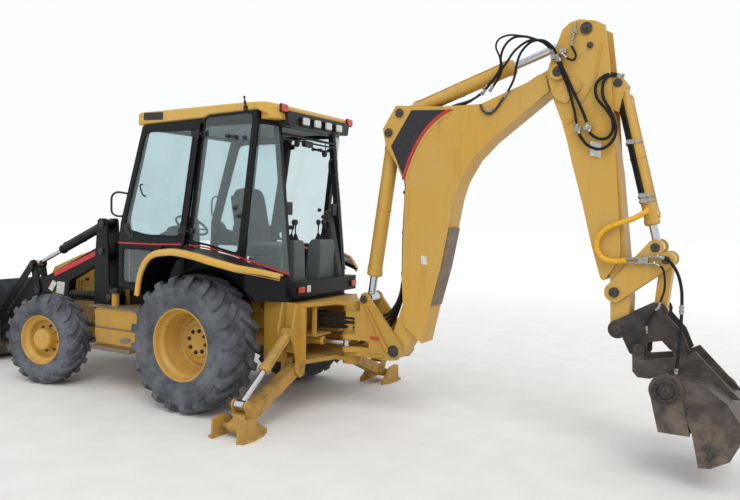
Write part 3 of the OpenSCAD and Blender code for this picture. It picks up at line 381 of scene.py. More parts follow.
def finish(shader, colour, roughness, metallic=0.0, bump=None, depth=0.001, **fixed):
    # links what changes over the surface; a plain number goes onto the shader's own socket
    for key, value in (("Base Color", colour), ("Roughness", roughness), ("Metallic", metallic)):
        if isinstance(value, Wire):
            value.tree.links.new(value.socket, shader.inputs[key])
        else:
            shader.inputs[key].default_value = value
    if bump is not None:
        relief = bump.node("Bump", {"Height": bump, "Distance": depth, "Strength": 1.0})
        relief.tree.links.new(relief.socket, shader.inputs["Normal"])
    for key, value in fixed.items():
        shader.inputs[key.replace("_", " ")].default_value = value


def srgb(r, g, b):
    # a colour read as 0 to 255, as light
    c = np.array([r, g, b]) / 255
    return tuple(np.where(c <= 0.04045, c / 12.92, ((c + 0.055) / 1.055)**2.4).tolist())


soil = {"dry": srgb(128, 110, 88), "wet": srgb(64, 52, 41), "rust": srgb(92, 56, 34),
        "bare": srgb(118, 110, 102)}


def paint(name, base, faded, mudTop=0.9, dust=0.5, chips=0.5, rough=0.42, wear=0.0, gloss=0.42):
    # old enamel: sun-faded blotches, rain streaks, dust on top faces, mud near the ground, rusty chips
    material, shader, place = startMaterial(name)
    fade = place.noise(1.6, 3).over(0.34, 0.68)
    grain = place.noise(38, 5, 0.65)
    colour = (fade * 0.75 + grain * 0.25).blend(base, faded)
    streaks = place.noise(5.5, 5, 0.6, stretch=(2.2, 2.2, 0.24)).over(0.52, 0.74)
    colour = (streaks * 0.32).blend(colour, tuple(c * 0.52 for c in base))
    spots = place.noise(120, 2).over(0.66, 0.72)
    colour = (spots * 0.4).blend(colour, soil["wet"])
    settled = facingUp(place).over(0.35, 0.95) * place.noise(9, 5).over(0.3, 0.7) * dust
    colour = settled.blend(colour, soil["dry"])
    low = heightAt(place).over(mudTop, mudTop * 0.2)
    splash = low * place.noise(4.5, 6, 0.62).over(0.44, 0.72)
    caked = place.noise(30, 3).over(0.35, 0.65).blend(soil["dry"], soil["wet"])
    colour = (splash * 0.62).blend(colour, caked)
    chipped = place.noise(21, 9, 0.72).over(0.705 - 0.05 * wear, 0.725 - 0.05 * wear) * chips
    colour = chipped.blend(colour, place.noise(70, 2).over(0.4, 0.6).blend(soil["rust"], soil["bare"]))
    relief = grain * 0.25 + splash * 0.7 - chipped * 0.6 + place.noise(3, 2) * 1.2
    finish(shader, colour, rough + grain * 0.1 + splash * 0.35 + settled * 0.25 + chipped * 0.2, bump=relief,
           depth=0.0016, Specular_IOR_Level=gloss)
    return material


def makeSteel(name, base, worn, rusty=0.5, rough=0.5, metallic=0.5, mudTop=0.0):
    # worked steel: scraped bright along the draw, rust in blotches and dirt near the ground
    material, shader, place = startMaterial(name)
    drawn = place.noise(9, 6, 0.62, stretch=(0.8, 1.3, 1.0))
    colour = (drawn.over(0.34, 0.7) * 0.8).blend(base, worn)
    rust = place.noise(4.5, 7, 0.62).over(0.5, 0.72) * rusty
    colour = rust.blend(colour, place.noise(50, 4).over(0.35, 0.65).blend(soil["rust"], soil["wet"]))
    low = heightAt(place).over(mudTop, 0.1) if mudTop else 0.15
    splash = place.noise(8, 7, 0.7).over(0.4, 0.62) * low
    colour = (splash * 0.8).blend(colour, soil["dry"])
    finish(shader, colour, rough + rust * 0.3 + splash * 0.25, metallic=metallic * (1 - rust) * (1 - splash),
           bump=drawn * 0.5 + rust * 0.6 + place.noise(70, 4, 0.6) * 0.5, depth=0.0016)
    return material


def makeRubber(name, base, dusty, mudTop=0.0, dirt=0.7):
    # black rubber under a film of dust, with mud caked on up to its top
    material, shader, place = startMaterial(name)
    grain = place.noise(60, 5, 0.6)
    film = place.noise(5, 6, 0.65).over(0.3, 0.7) * dirt
    colour = film.blend(base, dusty)
    if mudTop:
        caked = place.noise(11, 8, 0.72).over(0.5, 0.72) * (0.3 + heightAt(place).over(mudTop, 0.05) * 0.5)
        mud = place.noise(24, 4).over(0.35, 0.65).blend(soil["dry"], soil["wet"])
        colour = (caked * 0.55).blend(colour, mud)
        grain = grain + caked * 1.5
    finish(shader, colour, 0.78 + film * 0.14, bump=grain, depth=0.0018, Specular_IOR_Level=0.3)
    return material


def makePlain(name, base, second, scale=40, rough=0.4, metallic=0.0, relief=0.0004, dust=0.15, **fixed):
    # finish with a fine grain, a second tone in blotches and a little dust on top
    material, shader, place = startMaterial(name)
    grain = place.noise(scale, 4)
    settled = facingUp(place).over(0.3, 0.95) * place.noise(12, 4).over(0.3, 0.7) * dust
    colour = settled.blend(grain.over(0.35, 0.65).blend(base, second), soil["dry"])
    finish(shader, colour, rough + grain * 0.12 + settled * 0.3, metallic=metallic, bump=grain, depth=relief,
           **fixed)
    return material


def makeGlass(name, tint, film=0.12):
    # clear pane with a thin film of dust that gathers in the corners of rain marks
    material, shader, place = startMaterial(name)
    dusty = place.noise(3.2, 6, 0.7).over(0.42, 0.78) * film
    finish(shader, dusty.blend(tint, soil["dry"]), 0.03 + dusty * 0.6, Transmission_Weight=0.93, IOR=1.35)
    return material


yellowPaint = paint("yellowPaint", srgb(206, 158, 58), srgb(204, 168, 88), dust=0.35, chips=0.3)
yellowArm = paint("yellowArm", srgb(198, 152, 58), srgb(194, 156, 78), mudTop=0.5, dust=0.25, wear=0.5)
yellowLow = paint("yellowLow", srgb(188, 142, 48), srgb(176, 140, 70), mudTop=1.0, chips=0.9, wear=0.9)
wheelYellow = paint("wheelYellow", srgb(200, 156, 62), srgb(192, 152, 76), mudTop=0.7, dust=0.2)
blackPaint = paint("blackPaint", srgb(8, 8, 10), srgb(17, 18, 20), dust=0.15, chips=0.12, rough=0.3,
                   gloss=0.22)
blackArm = paint("blackArm", srgb(9, 10, 12), srgb(20, 21, 23), 0.7, dust=0.25, chips=0.4, wear=0.4,
                 gloss=0.24)
towerBlack = paint("towerBlack", srgb(8, 9, 11), srgb(19, 20, 22), 0.8, dust=0.25, chips=0.25, gloss=0.24)
bucketSteel = makeSteel("bucketSteel", srgb(62, 57, 55), srgb(98, 91, 87), rusty=0.4, mudTop=1.0)
couplerSteel = makeSteel("couplerSteel", srgb(38, 37, 38), srgb(70, 67, 66), rusty=0.25, rough=0.55)
# worn steel for the step, the rust patch and the boom's belly plate; on the tank it also colours the strip of
# painted crease shade
wornStripAndShade = makeSteel("wornStripAndShade", srgb(112, 98, 82), srgb(140, 124, 106), 0.35, rough=0.6, metallic=0.25)
loaderSteel = makeSteel("loaderSteel", srgb(36, 40, 46), srgb(68, 71, 76), rusty=0.14, mudTop=0.55)
engineIron = makeSteel("engineIron", srgb(60, 60, 60), srgb(88, 86, 84), rusty=0.2, rough=0.6, metallic=0.3)
chromeRod = makePlain("chromeRod", srgb(206, 206, 210), srgb(188, 190, 196), 90, 0.12, 1.0, 0.0001, 0.05)
zincFitting = makePlain("zincFitting", srgb(176, 176, 170), srgb(146, 142, 132), 120, 0.3, 0.9, 0.0003, 0.2)
pinSteel = makePlain("pinSteel", srgb(86, 82, 80), srgb(62, 58, 56), 60, 0.42, 0.75, 0.0005, 0.3)
tyreRubber = makeRubber("tyreRubber", srgb(66, 69, 74), srgb(116, 119, 124), mudTop=1.2, dirt=0.75)
hoseRubber = makeRubber("hoseRubber", srgb(20, 20, 23), srgb(44, 43, 44), dirt=0.4)
sealRubber = makeRubber("sealRubber", srgb(18, 18, 20), srgb(36, 36, 38), dirt=0.4)
spiralPlastic = makePlain("spiralPlastic", srgb(226, 170, 22), srgb(206, 152, 24), 50, relief=0.0003)
cabPlastic = makePlain("cabPlastic", srgb(54, 55, 58), srgb(66, 67, 70), 220, 0.55)
greyPlastic = makePlain("greyPlastic", srgb(74, 80, 80), srgb(90, 96, 95), 180, 0.55)
linerGrey = makePlain("linerGrey", srgb(150, 152, 154), srgb(164, 165, 166), 160, 0.7, relief=0.0006)
seatFabric = makePlain("seatFabric", srgb(38, 39, 42), srgb(48, 49, 52), 160, 0.85, relief=0.0006,
                       Sheen_Weight=0.3)
redLens = makePlain("redLens", srgb(214, 44, 34), srgb(196, 34, 28), 70, 0.18, relief=0.0002, Coat_Weight=0.6)
clearLens = makePlain("clearLens", srgb(214, 214, 204), srgb(190, 192, 186), 60, 0.12, Coat_Weight=0.8)
redStripe = makePlain("redStripe", srgb(196, 40, 44), srgb(180, 34, 38), 30, 0.35)
whiteLabel = makePlain("whiteLabel", srgb(214, 212, 204), srgb(192, 190, 182), 25, 0.5)
panelBlack = makePlain("panelBlack", srgb(20, 20, 26), srgb(28, 28, 34), 25, 0.35)
paneGlass = makeGlass("paneGlass", srgb(222, 238, 240), 0.08)
mirrorBlack = makePlain("mirrorBlack", srgb(12, 12, 14), srgb(20, 20, 22), 150, relief=0.0003)


def pairs(width, *names):
    # the solids on the left and on the right with these names, and how far their edges are rounded
    return {name + end: width for name in names for end in ("_left", "_right")}


# the finish of each solid, and in millimetres how far its edges are rounded: 0 leaves the solid as it is
finishes = {
    yellowPaint: {"hood": 9, "roof": 16},
    yellowLow: {"main_frame": 4, "rear_frame": 4, "swing_frame": 6, **pairs(5, "stabilizer"), "axles": 6,
                **pairs(0, "stabilizer_barrel", "swing_barrel", "knuckle")},
    yellowArm: {"boom": 6, "stick": 5, "stick_extension": 5, "link_arms": 4, "bucket_link": 4,
                "boom_barrel": 3, "stick_barrel": 3, "bucket_barrel": 3},
    wheelYellow: pairs(0, "rim_front", "rim_rear"),
    blackPaint: {"cab_base": 8, "cab_frame": 7, **pairs(5, "door")},
    towerBlack: {"loader_towers": 4},
    blackArm: {"loader_arms": 5, "tilt_levers": 3, "bucket_links": 3, "lift_barrels": 3, "tilt_barrels": 3},
    loaderSteel: {"loader_bucket": 5},
    bucketSteel: {"digging_bucket": 5, "bucket_jaw": 4},
    couplerSteel: {"coupler": 4},
    engineIron: {"engine": 0},
    chromeRod: {"lift_rods": 0, "tilt_rods": 0, "boom_rod": 0, "stick_rod": 0, "bucket_rod": 0,
                **pairs(0, "stabilizer_rod", "swing_rod")},
    paneGlass: {"cab_glass": 0, "door_left_glass": 0, "door_right_glass": 0},
    cabPlastic: {"controls": 0},
    seatFabric: {"seat": 0},
    redLens: {"lamps": 0},
    tyreRubber: pairs(0, "tyre_front", "tyre_rear")}
for material, widths in finishes.items():
    for name, width in widths.items():
        frame["nodes"][name].data.materials.clear()
        frame["nodes"][name].data.materials.append(material)
        if width:
            softened(name, width, material)
print("materials made and the solids' edges rounded")

# wheels: each tyre and rim stands for its solid; steer is how far the wheel is turned at rest
wheels = {"rear": {"place": (0, 860, 655), "kingpin": 0, "steer": 0, "radius": 655, "width": 480, "rim": 345,
                   "lugs": 20, "lugHeight": 40, "lag": 0.84},
          "front": {"place": (2100, 790, 485), "kingpin": 140, "steer": 9, "radius": 485, "width": 320,
                    "rim": 264, "lugs": 18, "lugHeight": 30, "lag": 0.92}}
# across the tread from its middle: [place / width and radius / tyre radius on a lug, the same two between the
# lugs, 1 where a lug stands]
treadRows = np.array([
    [0.000, 1.000, 0.000, 1.000, 0], [0.014, 1.000, 0.014, 1.000, 0], [0.030, 1.000, 0.022, 1.000, 1],
    [0.100, 0.999, 0.100, 1.000, 1], [0.180, 0.997, 0.180, 0.998, 1], [0.260, 0.993, 0.260, 0.994, 1],
    [0.330, 0.987, 0.330, 0.987, 1], [0.390, 0.979, 0.383, 0.976, 1], [0.436, 0.968, 0.416, 0.960, 1],
    [0.466, 0.953, 0.440, 0.940, 1], [0.484, 0.934, 0.456, 0.915, 1], [0.494, 0.906, 0.467, 0.890, 1],
    [0.498, 0.876, 0.478, 0.868, 0.9], [0.494, 0.848, 0.486, 0.846, 0]])
# shares of the tyre's radius: where its side begins, and from where and over how much the ground between the
# lugs falls; the share of the width where the lugs lag most, and the two factors of that curve
treadShape = {"side": 0.86, "fallFrom": 0.846, "fallOver": 0.07, "lagFull": 0.45, "lagCurve": (1.38, 0.38)}
# down the side from the tread to the bead: [place / width, share of the height above the rim]
sideRows = np.array([[0.497, 0.90], [0.500, 0.76], [0.499, 0.62], [0.492, 0.47], [0.478, 0.34], [0.462, 0.25],
                     [0.456, 0.235], [0.446, 0.17], [0.438, 0.145], [0.430, 0.15], [0.420, 0.10],
                     [0.408, 0.05], [0.398, 0.00], [0.388, -0.05]])


def onWheel(points, kind, side):
    # from the wheel's own frame, with y outwards, to the machine: y + kingpin, turned about z by the steer
    # angle as x cos - y sin and x sin + y cos, and moved to the wheel's place
    wheel = wheels[kind]
    turn = math.radians(wheel["steer"])
    x, y, z = points[..., 0], side * (points[..., 1] + wheel["kingpin"]), points[..., 2]
    steered = [x * math.cos(turn) - y * math.sin(turn), x * math.sin(turn) + y * math.cos(turn), z]
    return np.stack(steered, -1) + np.array(wheel["place"]) * [1, side, 1]


def wheelPiece(name, shape, kind, side, material, smooth=35):
    # the shape on one wheel; on the right, where y changes its sign, the faces are turned round
    points, faces = shape
    faces = faces if side > 0 else [face[::-1] for face in faces]
    end = "left" if side > 0 else "right"
    piece = addPiece(name + kind.capitalize() + end.capitalize(), (onWheel(points, kind, side), faces),
                     "wheel_" + kind + "_" + end, material, smooth=smooth)
    if name in ("tyre", "rim"):
        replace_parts(piece, name + "_" + kind + "_" + end)


def tyreShape(kind):
    # a grid of angle by row: radius * sin(angle), place across, radius * cos(angle); radius and place go from
    # the ground of the tread to the lug's top by a mask, and the angle lags towards the shoulder by a curve
    tyre = wheels[kind]
    radius, width, rim, side = tyre["radius"], tyre["width"], tyre["rim"], tyre["radius"] * treadShape["side"]
    phases = np.array([0, 0.035, 0.13, 0.235, 0.34, 0.43, 0.465, 0.5, 0.535, 0.63, 0.735, 0.84, 0.93, 0.965])
    onLug = ((phases > 0.03) & (phases < 0.44)).astype(float)
    place = (np.arange(tyre["lugs"])[:, None] + phases[None, :]).reshape(-1)
    sides = np.column_stack([sideRows[:, 0], (rim + sideRows[:, 1] * (side - rim)) / radius])
    tread = treadRows.copy()
    fall = np.clip((tread[:, 3] - treadShape["fallFrom"]) / treadShape["fallOver"], 0, 1)
    tread[:, 3] -= tyre["lugHeight"] / radius * fall
    rows = np.concatenate([tread, np.column_stack([sides, sides, np.zeros(len(sides))])])
    reach = np.minimum(rows[:, 2] / treadShape["lagFull"], 1)
    lag = tyre["lag"] * (treadShape["lagCurve"][0] * reach - treadShape["lagCurve"][1] * reach**2)
    angle = (place[None, :] - lag[:, None]) * 2 * np.pi / tyre["lugs"]
    halves = []
    for sign, offset in ((-1, len(phases) // 2), (1, 0)):
        mask = np.tile(np.roll(onLug, offset), tyre["lugs"])[None, :] * rows[:, 4:5]
        outer, ground = rows[:, None, 0:2], rows[:, None, 2:4]
        mixed = ground + (outer - ground) * mask[..., None]
        r = mixed[..., 1] * radius
        halves.append(np.stack([r * np.sin(angle), sign * mixed[..., 0] * width, r * np.cos(angle)], -1))
    return surface(np.concatenate([halves[0][:0:-1], halves[1]]), wrapRows=True, wrapCols=True)


def nutShape(angle, ring, size, low, high):
    # six-sided nut with a chamfered top, along y, on a washer and round the end of its bolt
    x, z = ring * math.cos(angle), ring * math.sin(angle)
    corner = np.arange(6) * np.pi / 3 + angle
    hexagon = np.stack([np.cos(corner), np.zeros(6), np.sin(corner)], -1)
    rows = [hexagon * r + [x, y, z] for r, y in ((size, low), (size, high - 4), (size * 0.86, high))]
    vertices, faces = surface(np.stack(rows), wrapCols=True, flip=True)
    washer = [[size * 1.3, low - 3], [size * 1.3, low + 2], [size * 1.15, low + 3.5]]
    bolt = [[size * 0.55, high - 4], [size * 0.55, high + 5], [size * 0.42, high + 7]]
    return join((vertices, faces + [tuple(range(12, 18))]), turned(washer, [x, 0, z], steps=18),
                turned(bolt, [x, 0, z], steps=12))


rimProfiles = {
    "rear": [[0, -259], [148, -259], [150, -255], [152, -124], [236, -120], [268, -104], [292, -80],
             [294, -100], [300, -118], [322, -150], [328, -176], [340, -190], [346, -184], [344, -176],
             [332, -170], [326, -140], [306, -108], [302, -90], [302, 60], [306, 96], [326, 140], [332, 172],
             [344, 178], [350, 184], [349, 192], [343, 197], [336, 195], [331, 187], [328, 160], [322, 136],
             [312, 122], [300, 112], [294, 100], [292, 70], [290, 50], [284, 30], [276, -20], [270, -60],
             [262, -84], [252, -96], [243, -101], [236, -100], [231, -94], [226, -80], [217, -72], [202, -68],
             [176, -66], [164, -63], [156, -58], [150, -50], [142, -48], [60, -48], [54, -52], [24, -52],
             [20, -48], [0, -48]],
    "front": [[0, -79], [103, -79], [105, -76], [105, -20], [150, -16], [196, 0], [206, -50], [228, -86],
              [246, -112], [258, -128], [264, -124], [262, -116], [248, -108], [236, -84], [214, -46],
              [212, 40], [236, 84], [248, 110], [262, 118], [268, 122], [267, 129], [262, 133], [256, 131],
              [251, 124], [247, 108], [238, 94], [222, 84], [210, 74], [204, 62], [200, 40], [194, 16],
              [184, 4], [170, -2], [150, -3], [132, 2], [122, 10], [117, 20], [115, 30], [115, 84],
              [113, 100], [106, 112], [96, 116], [40, 116], [36, 112], [14, 112], [10, 115], [0, 115]]}
nutRings = {"rear": {"ring": 107, "size": 16, "low": -47, "high": -26},
            "front": {"ring": 140, "size": 12, "low": 0, "high": 20}}
nutAngles = np.arange(8) * 2 * np.pi / 8 + 0.2
valve = {"angle": 0.5, "stops": ((296.7, 60), (296.7, 96), (294.975, 118))}
valvePath = [[r * math.cos(valve["angle"]), y, r * math.sin(valve["angle"])] for r, y in valve["stops"]]
for kind in ("rear", "front"):
    nuts = join(*[nutShape(angle, **nutRings[kind]) for angle in nutAngles])
    for side in (1, -1):
        wheelPiece("tyre", tyreShape(kind), kind, side, tyreRubber, smooth=30)
        wheelPiece("rim", turned(rimProfiles[kind], [0, 0, 0], steps=96), kind, side, wheelYellow, smooth=40)
        wheelPiece("nuts", nuts, kind, side, pinSteel, smooth=30)
        if kind == "rear":
            wheelPiece("valve", tube(curveThrough(valvePath, 4), 5), kind, side, zincFitting)
print("wheels made")


# fenders: a yellow edge rolled over the outside of each
fender = {"top": [[562, 1094], [521, 1291], [441, 1431], [331, 1511], [180, 1541], [0, 1546], [-320, 1501],
                  [-700, 1406], [-890, 1343]],
          "reach": [[570, 1090], [-380, 1090], [-620, 1000], [-970, 600]], "thick": 44}


def fenderShape():
    # the rolled edge's cross-section [place from the outer edge, height over the fender] is carried along the
    # fender's top line and moved out to the fender's reach at each place
    line = curveThrough(fender["top"], 9)
    slope = unit(np.gradient(line, axis=0))
    reach = np.interp(-line[:, 0], [-p[0] for p in fender["reach"]], [p[1] for p in fender["reach"]])
    thick = fender["thick"]
    section = [[-46, -2], [-44, 8], [-34, 13], [-20, 14], [-8, 11], [3, 4], [9, -6], [12, -18], [12, -thick],
               [8, -thick - 6], [-2, -thick - 9], [-16, -thick - 6], [-12, -thick + 4], [-6, -16], [-12, -8],
               [-36, -6]]
    points = [np.column_stack([line[:, 0] + slope[:, 1] * height, reach + across,
                               line[:, 1] - slope[:, 0] * height]) for across, height in section]
    return surface(np.stack(points, 1), wrapCols=True, closed=True)


addPair("fenderEdge", fenderShape(), "chassis", yellowPaint, smooth=50)

# red stripe along the cab: on each door, under the middle pane and round the corner
stripe = {"high": 15, "proud": 2.5, "door": [[1204, 1566], [700, 1570], [296, 1583]],
          "middle": [[232, 1578], [100, 1572], [0, 1562], [-150, 1542], [-300, 1516], [-437, 1486]]}


def band(line, y):
    # thin strip on a side wall, centred on a line of [x, z]
    line = curveThrough(line, 6)
    points = np.zeros((len(line), 4, 3))
    points[:, :, 0] = line[:, :1]
    points[:, :, 1] = y + np.array([0, 1, 1, 0]) * stripe["proud"]
    points[:, :, 2] = line[:, 1:] + np.array([-0.5, -0.5, 0.5, 0.5]) * stripe["high"]
    return surface(points, wrapCols=True, flip=True, closed=True)


cornerLine = np.array([[-440, 700.5, 1485], [-486, 700.5, 1472], [-600, 639, 1434], [-856, 501, 1338]])
cornerBand = [cornerLine + [0.46 * dy, 0.85 * dy, dz] for dy, dz in ((-2, -7), (3, -7), (3, 8), (-2, 8))]
cornerBand = surface(np.stack(cornerBand, 1), wrapCols=True, flip=True, closed=True)
addPair("doorStripe", band(stripe["door"], 734.5), "door", redStripe)
addPair("middleStripe", join(band(stripe["middle"], 700), cornerBand), "chassis", redStripe)
print("fenders and stripes made")

# rubber seals round the panes, with rounded inner corners
panes = {"door": [[322, 1650], [136, 2720], [818, 2720], [1118, 1790], [1090, 1700], [800, 1650]],
         "step": [[860, 1145], [745, 1420], [690, 1520], [1155, 1520], [1155, 1145]],
         "middle": [[216, 1602], [0, 1582], [-412, 1502], [-588, 2860], [-26, 2842], [32, 2818]]}


def sealShape(outline, wide, radius, low, high):
    # band between a pane's outline and the same outline moved inwards with its corners bent
    return ringSlab(rounded(outline, 4, 7), rounded(inset(outline, wide), radius, 7), low, high)


doorSeals = join(sealShape(panes["door"], 16, 75, 716, 737), sealShape(panes["step"], 16, 40, 716, 737))
addPair("doorSeals", doorSeals, "door", sealRubber, bevel=3)
addPair("middleSeal", sealShape(panes["middle"], 22, 60, 699.5, 710), "chassis", sealRubber, bevel=3)
print("seals made")

# lamps on both sides: each lens stands out of its housing; and the dark panel under the roof's rear edge
lampSpots = {"roofRed": {"y": [575], "z": 2884, "wide": 88, "high": 66, "from": -800, "to": -836},
             "tailRed": {"y": [470], "z": 1198, "wide": 88, "high": 54, "from": -960, "to": -986},
             "head": {"y": [348], "z": 1065, "wide": 70, "high": 86, "from": 2739, "to": 2766},
             "work": {"y": [98, 292], "z": 2790, "wide": 92, "high": 68, "from": -836, "to": -884}}


def lampBlock(y, spot, first, last, margin, radius):
    # block from the first to the last share of the lamp's depth
    z, wide, high = spot["z"], spot["wide"] / 2 + margin, spot["high"] / 2 + margin
    start, deep = spot["from"], spot["to"] - spot["from"]
    return plate(y - wide, z - high, y + wide, z + high, start + deep * first, start + deep * last, radius,
                 plane="yz")


housings, redLenses, clearLenses = [], [], []
for name, spot in lampSpots.items():
    for y in spot["y"] + [-y for y in spot["y"]]:
        housings.append(lampBlock(y, spot, 0, 0.55, 7, 10))
        (redLenses if "Red" in name else clearLenses).append(lampBlock(y, spot, 0.3, 1, 0, 14))
panelOutline = rounded([[-545, 2868], [545, 2868], [522, 2738], [-522, 2738]], 26, 5)
housings += [slab(panelOutline, -800.5, -838, "yz"), plate(-505, 2740, 505, 2783, -690, -802, 8, 4, "yz")]
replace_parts(addPiece("lampHousings", join(*housings), "chassis", mirrorBlack, bevel=4), "lamps")
addPiece("redLenses", join(*redLenses), "chassis", redLens, bevel=6)
addPiece("clearLenses", join(*clearLenses), "chassis", clearLens, bevel=6)

# blank plates: roof side, rear bumper and the two labels on each loader arm
roofPlate = bentSlab([[589, 2827], [859, 2833], [859, 2909], [589, 2903]], 12, 5, 709, 713.5)
addPair("roofPlate", roofPlate, "chassis", panelBlack, bevel=1)
addPiece("rearPlate", plate(300, 1166, 362, 1232, -960, -963, 5, 4, "yz"), "chassis", whiteLabel, bevel=0.6)
armLabels = join(bentSlab([[2316, 948], [2181, 933], [2161, 1076], [2292, 1080]], 8, 4, 664.5, 667),
                 bentSlab([[2455, 986], [2385, 954], [2304, 1058], [2371, 1090]], 6, 4, 664.5, 667))
addPair("armLabels", armLabels, "loader_arms", whiteLabel, bevel=0.6)
print("lamps and plates made")

# door fittings; both hinges of a door are on a line that leans back with its post
hingeLean = math.radians(9.71)
hinges = {"foot": np.array([268, 740, 1590]), "way": np.array([-math.sin(hingeLean), 0, math.cos(hingeLean)]),
          "lows": (90, 1050)}


def knuckleHinge(low):
    # knuckle, and on the door a leaf with three bolts; low is the knuckle's lower end on the hinge line
    start = hinges["foot"] + hinges["way"] * low
    knuckle = turned([[15.5, 0], [15.5, 26], [13, 27], [13, 30], [15.5, 31], [15.5, 49], [13, 50], [13, 53],
                      [15.5, 54], [15.5, 80]], start, hinges["way"], 20)
    x, z = (start + hinges["way"] * 40)[[0, 2]]
    leaf = bentSlab([[x + 8, z - 34], [x + 92, z - 28], [x + 92, z + 24], [x + 8, z + 34]], 14, 5, 733, 745)
    bolts = [disc([x + dx, z + dz], 9, 744, 752, 12) for dx, dz in ((34, -14), (34, 14), (70, 0))]
    return join(knuckle, leaf, *bolts)


def postHinge(low):
    # on the post a leaf with one bolt, and the arm from it to the knuckle
    x, z = (hinges["foot"] + hinges["way"] * (low + 40))[[0, 2]]
    leaf = bentSlab([[x - 92, z - 28], [x - 18, z - 30], [x - 18, z + 30], [x - 92, z + 28]], 14, 5, 706, 722)
    return join(leaf, plate(x - 40, z - 12, x - 14, z + 12, 720, 741), disc([x - 70, z], 16, 720, 732, 14))


handle = curveThrough([[842, 736, 2176], [846, 768, 2168], [826, 776, 2118], [804, 768, 2066],
                       [798, 736, 2056]], 6)
lock = bentSlab([[968, 1636], [1034, 1608], [1128, 1730], [1078, 1790], [1024, 1744]], 14, 5, 734, 741)
paddle = bentSlab([[1010, 1668], [1044, 1654], [1098, 1722], [1066, 1748]], 10, 5, 740, 752)
doorFittings = join(*[knuckleHinge(low) for low in hinges["lows"]], tube(handle, 8), lock, paddle)
addPair("doorFittings", doorFittings, "door", mirrorBlack, bevel=1.5)
postFittings = [postHinge(low) for low in hinges["lows"]]
for x, z in ((-362, 1954), (-412, 1879), (-364, 2620), (-470, 2612), (-266, 2633)):
    postFittings.append(turned([[20, 707], [20, 712], [13, 716], [13, 722], [17, 726], [17, 734], [10, 738]],
                               [x, 0, z], steps=20))
postFittings.append(bentSlab([[-390, 2596], [-266, 2622], [-266, 2644], [-390, 2634]], 10, 4, 706.5, 716))
addPair("postFittings", join(*postFittings), "chassis", mirrorBlack, bevel=1.5)

# antenna stub and grab loops
loop = curveThrough([[1178, 700, 1846], [1216, 742, 1846], [1270, 762, 1880], [1278, 764, 1960],
                     [1272, 762, 2050], [1222, 752, 2092], [1150, 736, 2092], [1096, 700, 2080]], 7)
addPair("grabLoop", tube(loop, 11, 12), "chassis", mirrorBlack)
antenna = turned([[16, 0], [16, 16], [9, 22], [9, 40], [13, 42], [13, 58], [7, 62], [7, 88], [11, 90],
                  [11, 104], [4, 108]], [-478, 716, 2890], (0.16, 0, 1), 16)
addPiece("antennaStub", join(antenna, plate(-500, 2856, -456, 2902, 709, 720, 6, 3)), "chassis", mirrorBlack)
print("door fittings made")


# cab inside
def cushionShape(size, centre, lean=0.0, crown=0.16, channels=(), power=0.42, around=64, rows=44):
    # a rounded box: each coordinate is its half size * sign * |cos or sin| ** power; the faces swell by a
    # crown that falls to the edges, channels sink across it, and the whole leans about y by degrees
    u = np.linspace(0, 2 * np.pi, around, endpoint=False)[None, :]
    v = np.linspace(-np.pi / 2 + 0.06, np.pi / 2 - 0.06, rows)[:, None]
    shaped = lambda wave, p: np.sign(wave) * np.abs(wave)**p
    x = shaped(np.cos(v), power) * shaped(np.cos(u), power)
    y = shaped(np.cos(v), power) * shaped(np.sin(u), power)
    z = shaped(np.sin(v), power * 0.9) * np.ones_like(u)
    swell = 1 + crown * (1 - x**2) * (1 - y**2)
    for place, wide, deep in channels:
        swell = swell - deep * np.exp(-((x - place) / wide)**2) * (z > 0)
    x, y, z = x * size[0] / 2, y * size[1] / 2, z * swell * size[2] / 2
    c, s = math.cos(math.radians(lean)), math.sin(math.radians(lean))
    points = np.stack([x * c + z * s, y, z * c - x * s], -1) + centre
    return surface(points, wrapCols=True, closed=True)


cushion = cushionShape((470, 478, 118), (-232, 0, 1540), crown=0.2,
                       channels=((0, 0.05, 0.14), (0.55, 0.05, 0.12)))
cushionPiece = addPiece("seatCushion", cushion, "chassis", seatFabric, smooth=180, subdivide=1)
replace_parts(cushionPiece, "seat")
seatBack = cushionShape((600, 452, 100), (12, 0, 1870), lean=102, crown=0.22,
                        channels=((-0.3, 0.04, 0.14), (0.25, 0.04, 0.14)))
addPiece("seatBack", seatBack, "chassis", seatFabric, smooth=180, subdivide=1)
seatFrame = [plate(-430, 1462, -30, 1484, -215, 215),
             bentSlab([[-10, 1480], [40, 1480], [150, 2080], [112, 2090]], 16, 4, -190, 190)]
for y in (-268, 268):
    armRest = rounded([[-330, 1740], [20, 1730], [30, 1778], [-330, 1784]], 20, 5)
    seatFrame += [slab(armRest, y - 26, y + 26),
                  slab([[0, 1600], [34, 1600], [38, 1740], [4, 1740]], y - 12, y + 12)]
addPiece("seatShell", join(*seatFrame), "chassis", cabPlastic, bevel=5)

# bellows: a rounded square whose half width swells and narrows in folds up to the seat
levels = np.linspace(1101, 1462, 40)
folds = 158 + 16 * np.abs(np.sin((levels - levels[0]) / (levels[-1] - levels[0]) * np.pi * 6))
square = rounded([[-1, -1], [1, -1], [1, 1], [-1, 1]], 0.5, 6)
bellows = np.stack([np.insert(square * [1.05 * half, half] + [-230, 0], 2, level, axis=1)
                    for half, level in zip(folds, levels)])
bellows = surface(bellows, wrapCols=True, closed=True)
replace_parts(addPiece("seatBellows", bellows, "chassis", sealRubber), "controls")

# steering wheel, turned towards the seat, and its column
wheelTilt = math.radians(32)
wheelAxis = np.array([-math.sin(wheelTilt), 0, math.cos(wheelTilt)])
wheelCentre = np.array([870.0, 0, 1753])
wheelUp = np.cross(wheelAxis, [0, 1, 0])


def onRim(angle, radius):
    # wheelCentre + radius * (cos(angle) across + sin(angle) up), in the steering wheel's leaning plane
    angle = np.asarray(angle)[..., None]
    return wheelCentre + radius * (np.cos(angle) * [0, 1, 0] + np.sin(angle) * wheelUp)


